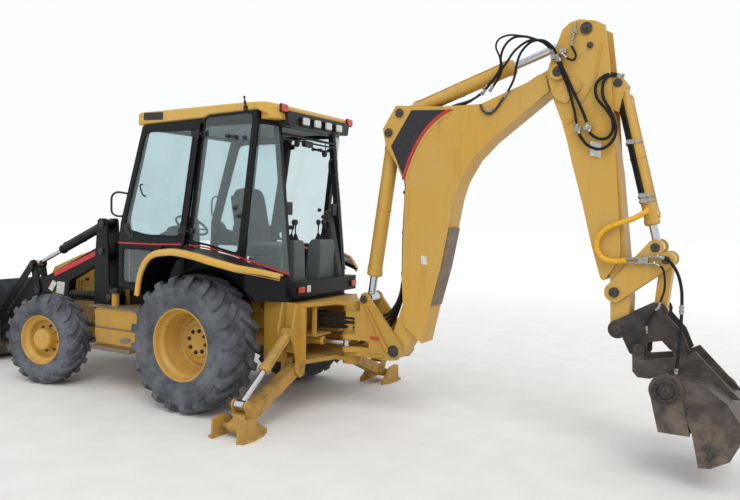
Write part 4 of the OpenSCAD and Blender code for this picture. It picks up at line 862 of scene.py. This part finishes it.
steering = [tube(onRim(np.linspace(0, 2 * np.pi, 49), 184), 13, 12, closed=False)]
for angle in (0.5, np.pi - 0.5, -np.pi / 2):
    tip = onRim(angle, 178)
    spoke = [wheelCentre - wheelAxis * 26, (wheelCentre + tip) / 2 - wheelAxis * 22, tip]
    steering.append(tube(curveThrough(spoke, 5), 9, 8))
steering.append(turned([[44, -44], [46, -30], [38, -12], [20, -6], [0, -5]], wheelCentre, wheelAxis, 28))
steering.append(tube([wheelCentre - wheelAxis * down for down in (30, 170, 260)], 30, 16))
addPiece("steeringWheel", join(*steering), "chassis", mirrorBlack)
dash = rounded([[900, 1102], [1128, 1102], [1132, 1640], [1060, 1690], [960, 1660], [905, 1500]], 34, 6)
dashPod = rounded([[1000, 1660], [1120, 1640], [1130, 1720], [1030, 1750]], 24, 5)
addPiece("dashColumn", join(slab(dash, -150, 150), slab(dashPod, -130, 130)), "chassis", cabPlastic, bevel=16)


def leverConsole(y, wide):
    # upright console: an outline in x and z, wider at its foot, with a sloping top
    outline = [[-800, 1102], [-610, 1102], [-618, 1380], [-632, 1600], [-660, 1652], [-780, 1652],
               [-792, 1600]]
    points, faces = bentSlab(outline, 30, 6, y - wide / 2, y + wide / 2)
    points[:, 1] = y + (points[:, 1] - y) * (1.25 - 0.35 * (points[:, 2] - 1102) / 550)
    return points, faces


consoles = join(leverConsole(250, 170), leverConsole(-250, 280))
addPiece("leverConsoles", consoles, "chassis", greyPlastic, bevel=12)
levers, knobs = [], []
for y, lean in ((215, 20), (285, -14), (-185, 22), (-255, 4), (-320, -20)):
    stem = curveThrough([[-710, y, 1650], [-712, y + lean * 0.3, 1720], [-724, y + lean, 1800]], 6)
    boot = [[36, 0], [34, 10], [24, 22], [27, 30], [16, 44], [19, 52], [9, 66]]
    levers += [tube(stem, 6.5), turned(boot, [-710, y, 1648], (0, 0, 1), 20)]
    knobs.append(turned([[8, 0], [15, 6], [24, 26], [25, 40], [19, 54], [8, 60]], [-724, y + lean, 1796],
                        (-0.1, lean / 120, 1), 20))
addPiece("consoleLevers", join(*levers), "chassis", sealRubber)
addPiece("leverKnobs", join(*knobs), "chassis", mirrorBlack)
sidePad = cushionShape((90, 150, 700), (-742, -432, 1590), lean=12, crown=0.06, power=0.34)
addPiece("sidePad", sidePad, "chassis", seatFabric, smooth=180)
liner = rounded([[-632, -560], [-560, -640], [812, -640], [812, 640], [-560, 640], [-632, 560]], 20, 4)
addPiece("roofLiner", slab(liner, 2770, 2784, "xy"), "chassis", linerGrey, bevel=5)
mat = [plate(-600, -330, 780, 330, 1100.2, 1106, 30, 4, "xy")]
mat += [plate(x, 1105, x + 26, 1109, -300, 300) for x in range(80, 760, 60)]
addPiece("floorMat", join(*mat), "chassis", sealRubber)
pedals = []
for y in (-260, 190):
    pedals += [bentSlab([[820, 1180], [852, 1150], [862, 1160], [834, 1196]], 4, 3, y, y + 70),
               tube([[850, y + 35, 1168], [880, y + 35, 1130], [900, y + 35, 1102]], 9, 8)]
addPiece("pedals", join(*pedals), "chassis", pinSteel, bevel=2)

# rail, fans, handle and boxes inside the rear window
grab = [[-700, -440, 2490], [-690, -408, 2480], [-688, -396, 2420], [-690, -408, 2350], [-700, -440, 2338]]
rail = [tube([[-706, 452, 2668], [-706, 0, 2660], [-706, -452, 2652]], 13),
        tube([[-706, 452, 2626], [-706, 0, 2620], [-706, -452, 2612]], 9), tube(curveThrough(grab, 6), 9),
        bentSlab([[-40, 2572], [96, 2580], [96, 2640], [-40, 2632]], 12, 4, -726, -680, "yz")]
for y, z, r in ((190, 2596, 30), (-300, 2540, 34), (60, 2606, 26)):
    rail += [turned([[r * 0.5, -26], [r, -18], [r * 1.06, 0], [r, 14], [r * 0.7, 20], [r * 0.3, 16]],
                    [-690, y, z], (1, 0.2, 0), 24), tube([[-704, y, 2640], [-700, y, z + r * 0.8]], 6, 8)]
rail += [plate(y - 44, 1898, y + 44, 2022, -770, -742, 8, 3, "yz") for y in (-405, 395)]
addPiece("rearWindowRail", join(*rail), "chassis", mirrorBlack, bevel=2)
print("cab inside made")

# hood: exhaust stack and latches
exhaust = turned([[47, -4], [48, 0], [48, 30], [54, 34], [58, 60], [58, 210], [54, 232], [40, 240], [36, 246],
                  [36, 330], [38, 400], [34, 402], [32, 330], [0, 320]], [2150, -220, 1392], (0, 0, 1), 32)
addPiece("exhaustStack", exhaust, "chassis", engineIron)


def bothSides(*shapes):
    # the shapes and their mirror images as one
    return join(*shapes, *[mirrored(shape) for shape in shapes])


latches = [plate(x, 1080, x + 60, 1110, 400, 412, 8, 4) for x in (1760, 2080)]
addPiece("hoodLatches", bothSides(*latches), "chassis", mirrorBlack, bevel=2)

# side tank: lower panel and lips, step with its tread, rust, a raised darker strip of painted shade along the
# crease, and cap
tank = {"lower": [[866, 492], [856, 560], [858, 650], [1476, 650], [1470, 560], [1448, 492]],
        "lip": [[858, 828], [868, 852], [900, 868], [1440, 868], [1488, 846], [1490, 828], [1432, 852],
                [904, 852]],
        "step": [[892, 428], [874, 472], [1466, 472], [1486, 428]],
        "top": [[880, 866], [1560, 866], [1576, 874], [1576, 884], [866, 884], [866, 874]],
        "rust": [[1099, 546], [1053, 574], [977, 586], [901, 579], [933, 546], [982, 525], [1041, 507],
                 [1074, 526]],
        "crease": [[866, 655], [1478, 650], [1478, 662], [866, 667]]}
tankPanel = join(slab(tank["lower"], 799, 816), slab(tank["lip"], 798, 806))
addPair("tankPanel", tankPanel, "chassis", yellowLow, bevel=4)
stepEdge = [slab(tank["step"], 858, 866), slab(tank["top"], 610, 812)]
stepEdge += [plate(x, 470, x + 12, 477, 812, 858) for x in range(900, 1450, 36)]
stepEdge += [slab([[x, 883], [x + 26, 883], [x + 22, 888], [x + 4, 888]], y, y + 9)
             for y in (640, 672, 704, 736, 768) for x in range(900, 1540, 44)]
addPair("stepEdge", join(*stepEdge), "chassis", wornStripAndShade, bevel=1)
addPiece("tankRustPatch", bentSlab(tank["rust"], 14, 4, 814, 817), "chassis", wornStripAndShade)
# raised strip along the crease in the darker worn-steel finish: painted shade standing in for the crease's
# shadow
addPiece("tankCreaseShade", bothSides(slab(tank["crease"], 799, 813)), "chassis", wornStripAndShade, bevel=1)
cap = turned([[40, 1028], [56, 1030], [57, 1036], [57, 1062], [53, 1070], [30, 1074], [28, 1082], [12, 1086],
              [0, 1086]], [1240, 740, 0], (0, 0, 1), 32)
addPiece("tankCaps", bothSides(cap), "chassis", mirrorBlack)

# loader: red lift-arm lock bars with a forked end
lockBar = join(bentSlab([[1652, 1452], [1640, 1398], [2326, 1130], [2348, 1186]], 16, 5, 655, 676.5),
               slab([[1640, 1398], [1580, 1420], [1588, 1446], [1646, 1428]], 658, 666),
               slab([[1652, 1452], [1596, 1470], [1590, 1452], [1646, 1428]], 668, 676))
addPair("lockBar", lockBar, "loader_arms", redStripe, bevel=5)


def pinCap(at, y, radius, proud=9):
    # end of a pin: a ring, a domed head and a grease nipple; y is the face it sits on
    ring = [[radius * 1.32, 0], [radius * 1.34, proud * 0.5], [radius * 1.26, proud * 0.6]]
    head = [[radius, proud * 0.4], [radius, proud], [radius * 0.9, proud * 1.25], [radius * 0.2, proud * 1.3]]
    nipple = [[5, proud], [5, proud + 8], [2.5, proud + 12]]
    return join(*[turned(profile, [at[0], y, at[1]], (0, np.sign(y), 0), steps)
                  for profile, steps in ((ring, 28), (head, 28), (nipple, 10))])


# pins of each body: place in x and z, the face at y and the radius
pins = {"boom": [([-1678, 2674], 130, 30), ([-1785, 2848], 130, 30)],
        "stick": [([-3228, 3100], 160, 40), ([-3442, 3422], 162, 30)],
        "stick_extension": [([-3690, 2985], 118, 26)],
        "link_arms": [([-3728, 1354], 154, 30), ([-4095, 1625], 146, 24), ([-4015, 1717], 146, 26)],
        "digging_bucket": [([-3762, 1066], 158, 30), ([-4058, 1230], 156, 26), ([-4172, 706], 490, 34),
                           ([-3928, 928], 182, 26), ([-4205, 985], 182, 26)],
        "swing_frame": [([-1780, 660], 135, 42), ([-1460, 1120], 147, 28)],
        "chassis": [([1504, 1459], 714, 30), ([1496, 1760], 714, 30), ([1380, 970], 714, 28)],
        "tilt_levers": [([2640, 960], 685, 30), ([2700, 1256], 712, 26)],
        "loader_bucket": [([3420, 300], 685, 30), ([3372, 556], 712, 26)]}
for body, places in pins.items():
    caps = [pinCap(at, side * y, radius) for at, y, radius in places for side in (1, -1)]
    addPiece("pinCaps_" + body, join(*caps), body, pinSteel)
jawRings = [turned([[40, 3], [58, 3], [62, 14], [68, 18], [84, 18], [90, 12], [90, -4], [40, -4]],
                   [-4172, side * 490, 706], (0, side, 0), 40) for side in (1, -1)]
addPiece("jawPivotRings", join(*jawRings), "digging_bucket", couplerSteel)

# rear frame: shelf, post and gusset seen in its side opening; swing frame: raised flanges
shelfParts = [plate(-1050, 742, -640, 760, 60, 330), plate(-1040, 760, -1000, 1062, 300, 330),
              bentSlab([[-640, 760], [-760, 760], [-640, 900]], 12, 3, 300, 326)]
addPiece("rearFrameShelf", bothSides(*shelfParts), "chassis", yellowLow, bevel=3)
flanges = [slab([[-1470, 1060], [-1506, 1040], [-1740, 660], [-1716, 640], [-1690, 672]], 146, 154),
           slab([[-1560, 600], [-1560, 578], [-1690, 596], [-1680, 618]], 146, 152)]
addPiece("swingFlanges", bothSides(*flanges), "swing_frame", yellowLow, bevel=3)
print("hood, tank and pins made")

# hoses and steel tubes: stops in mm, each hose with a crimped fitting at both ends
hoses = {"noseA": [[-3186, 178, 3260], [-3119, 198, 3328], [-3034, 208, 3373], [-2929, 206, 3404],
                   [-2816, 186, 3426], [-2724, 160, 3407], [-2686, 120, 3355], [-2713, 92, 3270],
                   [-2712, 78, 3191], [-2660, 70, 3110], [-2575, 62, 3030]],
         "noseB": [[-3204, 184, 3247], [-3154, 208, 3312], [-3063, 222, 3356], [-2966, 220, 3392],
                   [-2864, 206, 3395], [-2783, 180, 3341], [-2738, 140, 3258], [-2741, 112, 3176],
                   [-2705, 96, 3095], [-2640, 86, 3010]],
         "noseC": [[-3221, 188, 3222], [-3186, 210, 3296], [-3088, 228, 3348], [-2994, 230, 3349],
                   [-2887, 214, 3290], [-2803, 176, 3206], [-2726, 140, 3132], [-2650, 112, 3060],
                   [-2575, 98, 2985]],
         "noseD": [[-3230, 192, 3198], [-3204, 216, 3276], [-3129, 236, 3339], [-3029, 238, 3339],
                   [-2945, 226, 3272], [-2899, 196, 3186], [-2868, 162, 3077], [-2824, 144, 2996],
                   [-2788, 138, 2949]],
         "stickA": [[-3215, 178, 3210], [-3266, 184, 3090], [-3328, 184, 2942], [-3370, 182, 2803],
                    [-3391, 180, 2712], [-3408, 178, 2639]],
         "stickB": [[-3238, 182, 3204], [-3298, 186, 3072], [-3367, 186, 2924], [-3428, 184, 2800],
                    [-3466, 182, 2711], [-3486, 180, 2647]],
         "loopA": [[-3408, 178, 2625], [-3431, 180, 2574], [-3491, 186, 2503], [-3580, 196, 2468],
                   [-3659, 204, 2501], [-3702, 204, 2576], [-3697, 200, 2665], [-3651, 192, 2772],
                   [-3599, 188, 2864], [-3589, 186, 2953], [-3605, 174, 3013], [-3650, 136, 3043],
                   [-3700, 96, 3029]],
         "loopB": [[-3486, 180, 2633], [-3516, 182, 2585], [-3579, 190, 2549], [-3643, 198, 2555],
                   [-3679, 202, 2607], [-3672, 198, 2696], [-3619, 192, 2780], [-3555, 190, 2858],
                   [-3535, 190, 2934], [-3549, 182, 2993], [-3596, 162, 3038], [-3645, 124, 3057],
                   [-3706, 88, 3045]],
         "top": [[-3339, 176, 3322], [-3338, 178, 3288], [-3363, 182, 3240], [-3374, 184, 3206],
                 [-3358, 184, 3178], [-3320, 182, 3187], [-3277, 180, 3221]],
         "linkA": [[-4055, 172, 1647], [-4113, 178, 1626], [-4163, 182, 1572], [-4196, 182, 1499],
                   [-4216, 180, 1410], [-4222, 178, 1321], [-4222, 176, 1265]],
         "linkB": [[-4029, 172, 1594], [-4076, 178, 1564], [-4096, 180, 1493], [-4097, 180, 1402],
                   [-4079, 178, 1332], [-4062, 176, 1275]],
         "grabA": [[-4222, 176, 1260], [-4224, 186, 1180], [-4225, 206, 1090], [-4222, 232, 1000],
                   [-4218, 256, 900], [-4212, 270, 800]],
         "grabB": [[-4060, 176, 1268], [-4024, 184, 1219], [-3995, 186, 1172], [-3982, 182, 1124],
                   [-3985, 176, 1085]]}
hoseSize = {"noseA": 8, "loopA": 12, "loopB": 12, "stickB": 12, "linkA": 12, "grabA": 12, "top": 9,
            "grabB": 8, "linkB": 8}


def fitting(at, way, radius):
    # crimped sleeve with a hexagon nut: a turned sleeve and a six-sided block along the hose's end
    way = unit(way)
    sleeve = turned([[radius * 0.7, -6], [radius * 1.24, -4], [radius * 1.28, 8], [radius * 1.18, 12],
                     [radius * 1.28, 16], [radius * 1.28, 30], [radius * 1.05, 34]], at, way, 18)
    return join(sleeve, tube([at - way * back for back in (22, 15, 8)], radius * 1.55, 6))


# each set of hoses: the hoses, their bodies and, for a set over a joint, where its bend starts and ends
hoseSets = {
    "noseHoses": (["noseA", "noseB", "noseC", "noseD"], ("boom", "stick"), [-2760, 150, 3150],
                  [-3180, 190, 3270]),
    "stickHoses": (["stickA", "stickB", "top"], ("stick",)),
    "slideHoses": (["loopA", "loopB"], ("stick", "stick_extension"), [-3500, 190, 2580], [-3690, 150, 3000]),
    "linkHoses": (["linkA", "linkB"], ("link_arms", "bucket_link"), [-4060, 175, 1620], [-4150, 175, 1380]),
    "grabHoses": (["grabA", "grabB"], ("digging_bucket",))}
for piece, (names, bodies, *bend) in hoseSets.items():
    rubber, metal = [], []
    for name in names:
        path, radius = curveThrough(hoses[name], 7), hoseSize.get(name, 10)
        rubber.append(tube(path, radius, 12))
        metal += [fitting(path[0], path[1] - path[0], radius), fitting(path[-1], path[-2] - path[-1], radius)]
    for name, shapes, material, smooth in ((piece, rubber, hoseRubber, 50),
                                           (piece + "Ends", metal, zincFitting, 30)):
        if bend:
            addBlended(name, join(*shapes), bodies, material, *bend, smooth=smooth)
        else:
            addPiece(name, join(*shapes), bodies[0], material, smooth=smooth)

# steel tubes
metalTubes = {"boom": [[[-2788, 138, 2949], [-2740, 135, 2878], [-2692, 133, 2820], [-2641, 133, 2796],
                        [-2589, 133, 2829], [-2566, 132, 2880]]],
              "stick": [[[-3360, 176, 3476], [-3357, 176, 3422], [-3349, 176, 3378], [-3339, 176, 3330]]],
              "link_arms": [[[-3812, 172, 1622], [-3912, 172, 1637], [-4052, 172, 1648]],
                            [[-3818, 172, 1595], [-3914, 172, 1594], [-4026, 172, 1595]]]}
backLine = [[-1815, 1290], [-1812, 1700], [-1822, 2060], [-1822, 2210], [-1780, 2300], [-1738, 2390],
            [-1750, 2450], [-1815, 2545], [-1960, 2770], [-2120, 2835], [-2290, 2900]]
for y, edge in ((-45, 98), (-15, 86), (15, 70), (45, 62)):
    overNose = [[-2430, (y + edge) / 2, 2930], [-2570, edge, 2990]]
    metalTubes["boom"].append([[x, y, z] for x, z in backLine] + overNose)
for body, paths in metalTubes.items():
    tubes = [tube(curveThrough(path, 8), 9 if body == "link_arms" else 10) for path in paths]
    addPiece("steelTubes_" + body, join(*tubes), body, pinSteel if body == "boom" else zincFitting)

# clamps and port blocks: small bolted blocks that hold the hoses and tubes
clamps = {"stick": [((-3408, 2634), 162, 190, 26), ((-3486, 2639), 162, 192, 30),
                    ((-3205, 3216), 158, 196, 30), ((-3268, 3258), 160, 188, 28),
                    ((-3352, 3400), 160, 186, 22)],
          "link_arms": [((-3936, 1618), 150, 184, 36)],
          "boom": [((-2650, 2826), 118, 142, 22)]}
for body, blocks in clamps.items():
    shapes = []
    for (x, z), low, high, half in blocks:
        shapes += [plate(x - half, z - half * 0.7, x + half, z + half * 0.7, low, high, 7, 4),
                   disc([x, z], 9, high - 2, high + 9, 6)]
    addPiece("hoseClamps_" + body, join(*shapes), body, zincFitting, bevel=2)
straps = [plate(-1850, z - 14, -1806, z + 14, -62, 62) for z in (1380, 1760, 2130)]
addPiece("boomTubeStraps", join(*straps), "boom", blackArm, bevel=3)

# yellow spiral guard on the hose from the bucket cylinder to the link arms
spiral = {"path": [[-3940, 84, 2009], [-3920, 100, 1983], [-3843, 150, 1931], [-3737, 184, 1889],
                   [-3651, 198, 1844], [-3598, 202, 1768], [-3597, 200, 1682], [-3653, 194, 1615],
                   [-3737, 186, 1601], [-3809, 176, 1610]],
          "radius": 21, "pitch": 34}


def spiralShape(sides=24):
    # a tube whose radius swells once a turn along a helix, so that the wrapped strips read as a coil
    path = curveThrough(spiral["path"], 22)
    vertices, faces = tube(path, spiral["radius"], sides)
    points = vertices.reshape(len(path), sides, 3)
    length = np.concatenate([[0], np.cumsum(np.linalg.norm(np.diff(path, axis=0), axis=1))])
    phase = length[:, None] / spiral["pitch"] - np.arange(sides)[None, :] / sides
    swell = 0.9 + 0.14 * np.abs(np.sin(phase * np.pi))**0.5
    return (path[:, None] + (points - path[:, None]) * swell[:, :, None]).reshape(-1, 3), faces


addBlended("spiralGuard", spiralShape(), ("stick_extension", "link_arms"), spiralPlastic, [-3900, 150, 1960],
           [-3740, 185, 1600])
print("stick and boom hoses made")


# cylinders: gland ring, port blocks and a steel tube along each barrel
def glandAndPorts(base, eye, reach, radius, up, collar):
    # base and eye are the pins; reach is the barrel's end on the way between them; up is the ports' side
    base, eye = np.array(base, float), np.array(eye, float)
    way = unit(eye - base)
    up = unit(up - way * np.dot(up, way))
    end = base + way * reach
    gland = turned([[collar * 0.62, 14], [collar * 0.66, 16], [collar * 0.9, 10], [collar * 0.99, 4],
                    [collar * 1.02, -4], [collar * 1.02, -26], [collar * 0.9, -30]], end, way, 32)
    first, last = base + way * (radius + 60), end - way * 46
    middle, rise = (first + last) / 2, radius + 9
    port = [[17, -8], [18, 6], [15, 12], [15, 16]]
    ports = [turned(port, at + up * (radius - 2), up, 6) for at in (first, last)]
    path = [last + up * (radius + 4), last + up * (rise + 6) - way * 22, last + up * rise - way * 70,
            middle + up * rise, first + up * rise + way * 70, first + up * (rise + 6) + way * 22,
            first + up * (radius + 4)]
    strap = [[radius - 2, -12], [radius + 4, -11], [radius + 4, 11], [radius - 2, 12]]
    return join(gland, *ports, turned(strap, middle, way, 36)), tube(curveThrough(path, 7), 7)


def rightRam(*left):
    # the mirror image of the left one, in what glandAndPorts takes
    return [np.array(value) * [1, -1, 1] if isinstance(value, list) else value for value in left]


lift = ([1380, 620, 970], [2174, 620, 937], 703, 48, [0, 0.3, -1], 53)
tilt = ([1496, 620, 1760], [2700, 620, 1256], 820, 46, [0, 0, 1], 51)
leg = ([-888, 545, 800], [-888, 1215, 262], 465, 50, [-1, 0, 0.2], 55)
swing = ([-640, 230, 690], [-1288, 158, 690], 400, 40, [0, 0.2, 1], 44)
bucketRam = ([-3690, 0, 2985], [-4015, 0, 1717], 1120, 54, [-1, 0, 0.2], 59)
cylinders = {"boom_barrel": [([-1678, 0, 2674], [-1460, 0, 1120], 1340, 66, [1, 0, 0.2], 73)],
             "stick_barrel": [([-1785, 0, 2848], [-3442, 0, 3422], 1080, 60, [0.2, 0, 1], 66)],
             "bucket_barrel": [bucketRam],
             "lift_barrels": [lift, rightRam(*lift)], "tilt_barrels": [tilt, rightRam(*tilt)],
             "stabilizer_barrel_left": [leg], "stabilizer_barrel_right": [rightRam(*leg)],
             "swing_barrel_left": [swing], "swing_barrel_right": [rightRam(*swing)]}
ramPaint = {"boom": yellowArm, "stick": yellowArm, "bucket": yellowArm, "lift": blackArm, "tilt": blackArm,
            "stabilizer": yellowLow, "swing": yellowLow}
for body, rams in cylinders.items():
    glands, tubes = zip(*[glandAndPorts(*ram) for ram in rams])
    material = ramPaint[body.split("_")[0]]
    addPiece("glands_" + body, join(*glands), body, material, bevel=1)
    addPiece("portTubes_" + body, join(*tubes), body, material)

# hoses and straps beside the bucket cylinder: stops are [along, out from its axis, y]
ramBase = np.array(bucketRam[0], float)
ramWay = unit(bucketRam[1] - ramBase)
ramOut = unit([1, 0, 0] - ramWay * ramWay[0])
ramHoses = []
for out, y, start in ((34, 58, 20), (8, 70, 60)):
    stops = [(start, out + 10, 92), (start + 60, out, y + 12), (start + 160, out, y), (480, out, y),
             (840, out, y), (940, out, y + 6)]
    stops = [ramBase + ramWay * t + ramOut * n + [0, across, 0] for t, n, across in stops]
    ramHoses.append(tube(curveThrough(stops, 8), 11, 12))
addPiece("bucketRamHoses", join(*ramHoses), "bucket_barrel", hoseRubber, smooth=50)
strapWay, straps = np.array([-0.248, 0, -0.969]), []
for along in (470, 900, 940):
    x, y, z = ramBase + strapWay * along
    straps += [turned([[56, -14], [62, -13], [62, 13], [56, 14]], [x, y, z], strapWay, 36),
               plate(x - 14, z - 18, x + 40, z + 18, 50, 90, 6, 3)]
addPiece("bucketRamStraps", join(*straps), "bucket_barrel", zincFitting, bevel=1.5)

# hoses through the rear frame to the swing frame, their radius rippled, and from there up the boom
ribbed = []
for i, (y, z) in enumerate(((112, 962), (104, 918), (112, 872), (100, 826))):
    path = curveThrough([[-880, y + 20, z - 6], [-980, y + 8, z], [-1100, y, z - 4], [-1220, y - 10, z + 4],
                         [-1330, 76 - i * 6, z + 2], [-1420, 52 - i * 3, z - 4],
                         [-1520, 45 - i * 30, z - 10]], 9)
    vertices, faces = tube(path, 17, 12)
    rows = vertices.reshape(-1, 12, 3)
    centre = rows.mean(1, keepdims=True)
    ripple = 1 + 0.05 * np.cos(np.arange(len(rows)) * np.pi)[:, None, None]
    ribbed.append(((centre + (rows - centre) * ripple).reshape(-1, 3), faces))
addBlended("frameHoses", join(*ribbed), ("chassis", "swing_frame"), hoseRubber, [-1100, 0, 880],
           [-1420, 0, 880])
climb = []
for i, y in enumerate((45, 15, -15, -45)):
    low = 952 - i * 44
    path = [[-1520, y, low], [-1600, y, low + 6], [-1690, y, low + 50 + i * 16], [-1762, y, 1100],
            [-1800, y, 1200], [-1815, y, 1296]]
    climb.append(tube(curveThrough(path, 8), 14, 12))
addBlended("boomFootHoses", join(*climb), ("swing_frame", "boom"), hoseRubber, [-1620, 0, 900],
           [-1810, 0, 1250])
print("frame hoses made")

# boom: dark panel with the red arc on each side of the nose, worn plate under the belly, blank labels
nose = {"corners": [[-1903, 2868], [-1702, 2552]],
        "arc": [[-2318, 2851], [-2210, 2803], [-2102, 2722], [-2003, 2600], [-1920, 2443], [-1870, 2310],
                [-1850, 2236]],
        "red": [[-2286, 2852], [-2190, 2810], [-2086, 2728], [-1988, 2608], [-1905, 2455], [-1856, 2322],
                [-1832, 2244]]}
panel = nose["corners"] + curveThrough(nose["arc"], 8)[::-1].tolist()
redLine = curveThrough(nose["red"], 8)
redSlope = unit(np.gradient(redLine, axis=0))
redSide = np.stack([-redSlope[:, 1], redSlope[:, 0]], 1)
redBand = np.concatenate([redLine + redSide * 13, (redLine - redSide * 13)[::-1]])
addPair("nosePanel", slab(panel, 120.1, 122), "boom", panelBlack)
addPair("noseArc", slab(redBand, 121.5, 123.4), "boom", redStripe)
addPair("noseSeam", tube(np.insert(redLine - redSide * 44, 1, 120, axis=1), 5, 8), "boom", yellowArm)
belly = [[-2300, 1816], [-2232, 1458], [-2142, 1112], [-2150, 1106], [-2242, 1456], [-2310, 1814]]
addPiece("bellyPlate", slab(belly, -112, 112), "boom", wornStripAndShade, bevel=1)
boomLabel = bentSlab([[-2094, 1476], [-2040, 1482], [-2036, 1562], [-2090, 1556]], 5, 4, 120, 121.2)
stickLabel = bentSlab([[-3592, 2404], [-3506, 2424], [-3506, 2540], [-3592, 2520]], 6, 4, 162, 163.2)
addPiece("boomLabel", boomLabel, "boom", whiteLabel)
addPiece("stickLabel", stickLabel, "stick", whiteLabel)
swingLabel = bentSlab([[-1640, 744], [-1540, 756], [-1540, 776], [-1640, 764]], 4, 3, 147, 148.2)
addPiece("swingLabel", bothSides(swingLabel), "swing_frame", redStripe)

# stick: on each side a gusset plate, two weld seams and the rings of its pins
seams = [[[-3562, 3291], [-3545, 3167], [-3523, 3035], [-3483, 2936], [-3429, 2850]],
         [[-3303, 2686], [-3349, 2696], [-3382, 2743], [-3392, 2803]]]
gusset = rounded([[-3253, 3017], [-3367, 3047], [-3421, 2995], [-3416, 2941], [-3349, 2897], [-3306, 2839],
                  [-3230, 2871], [-3190, 2920]], 22, 4)
ringsOfPins = {"plate": ([[42, 0], [42, 9], [62, 11], [68, 8], [68, 0]], [-3228, 161, 3100], 40),
               "ring": ([[36, 0], [47, 0], [47, 4], [44, 7], [36, 7]], [-3442, 162, 3422], 36),
               "stub": ([[25, -2], [25, 5], [20, 8], [0, 8]], [-3476, 162, 3286], 24)}
rings = {name: [turned(profile, np.array(at) * [1, side, 1], (0, side, 0), steps) for side in (1, -1)]
         for name, (profile, at, steps) in ringsOfPins.items()}
stickPlates = rings["plate"]
for side in (1, -1):
    stickPlates.append(slab(gusset, side * 160, side * 168))
    stickPlates += [tube(curveThrough([[x, side * 162, z] for x, z in seam], 8), 5, 8) for seam in seams]
addPiece("stickPlates", join(*stickPlates), "stick", yellowArm, bevel=2)
addPiece("stickPinRings", join(*rings["ring"], *rings["stub"]), "stick", pinSteel)
print("boom and stick details made")


# floor and light: past the floor's near part everything that a look or a mirror image sees is white
stage = {"half": 60, "floor": (0.78, 0.77, 0.75), "spots": (0.74, 0.73, 0.71), "near": 4.5, "far": 13.0,
         "sky": 0.92, "skyColour": (0.97, 0.985, 1.0, 1), "lamp": 1.05, "lampSpread": 35,
         "lampPlace": (-4.5, 6.5, 9.0)}


def directlySeen(start):
    # 1 for a ray from the camera, from a mirror image or through glass
    seen, glossy, through = (start.node("LightPath", out=out) for out in (0, 3, 4))
    return seen.maths("MAXIMUM", seen.maths("MAXIMUM", seen, glossy), through)


def addFloor():
    # pale floor with soft blotches, which turns white between near and far
    mesh = bpy.data.meshes.new("floor")
    corners = [(x * stage["half"], y * stage["half"], 0.0) for x, y in ((-1, -1), (1, -1), (1, 1), (-1, 1))]
    mesh.from_pydata(corners, [], [(0, 1, 2, 3)])
    ground = addObject("floor", mesh)
    material, shader, place = startMaterial("floorFinish")
    away = place.node("VectorMath", {0: place}, out=1, operation="LENGTH")
    shown = directlySeen(place) * away.over(stage["near"], stage["far"])
    finish(shader, place.noise(3, 4).over(0.3, 0.7).blend(stage["floor"], stage["spots"]), 0.9)
    white = place.node("Emission", {"Color": (1, 1, 1, 1), "Strength": 1.0})
    mixed = place.node("MixShader", {0: shown, 1: Wire(place.tree, shader.outputs[0]), 2: white})
    place.tree.links.new(mixed.socket, place.tree.nodes["Material Output"].inputs["Surface"])
    mesh.materials.append(material)


def addLight():
    # a plain sky, white where it is seen directly, and one lamp with wide soft shadows
    world = bpy.data.worlds.new("sky")
    bpy.context.scene.world = world
    world.use_nodes = True
    background = world.node_tree.nodes["Background"]
    background.inputs["Color"].default_value = stage["skyColour"]
    strength = directlySeen(Wire(world.node_tree, None)) * (1 - stage["sky"]) + stage["sky"]
    world.node_tree.links.new(strength.socket, background.inputs["Strength"])
    lamp = bpy.data.lights.new("softLamp", "SUN")
    lamp.energy, lamp.angle = stage["lamp"], math.radians(stage["lampSpread"])
    away = unit(stage["lampPlace"])
    side = unit(np.cross([0, 0, 1.0], away))
    aim(addObject("softLamp", lamp), stage["lampPlace"], side, np.cross(away, side), away)
    bpy.context.scene.view_settings.view_transform = "Standard"


addFloor()
addLight()
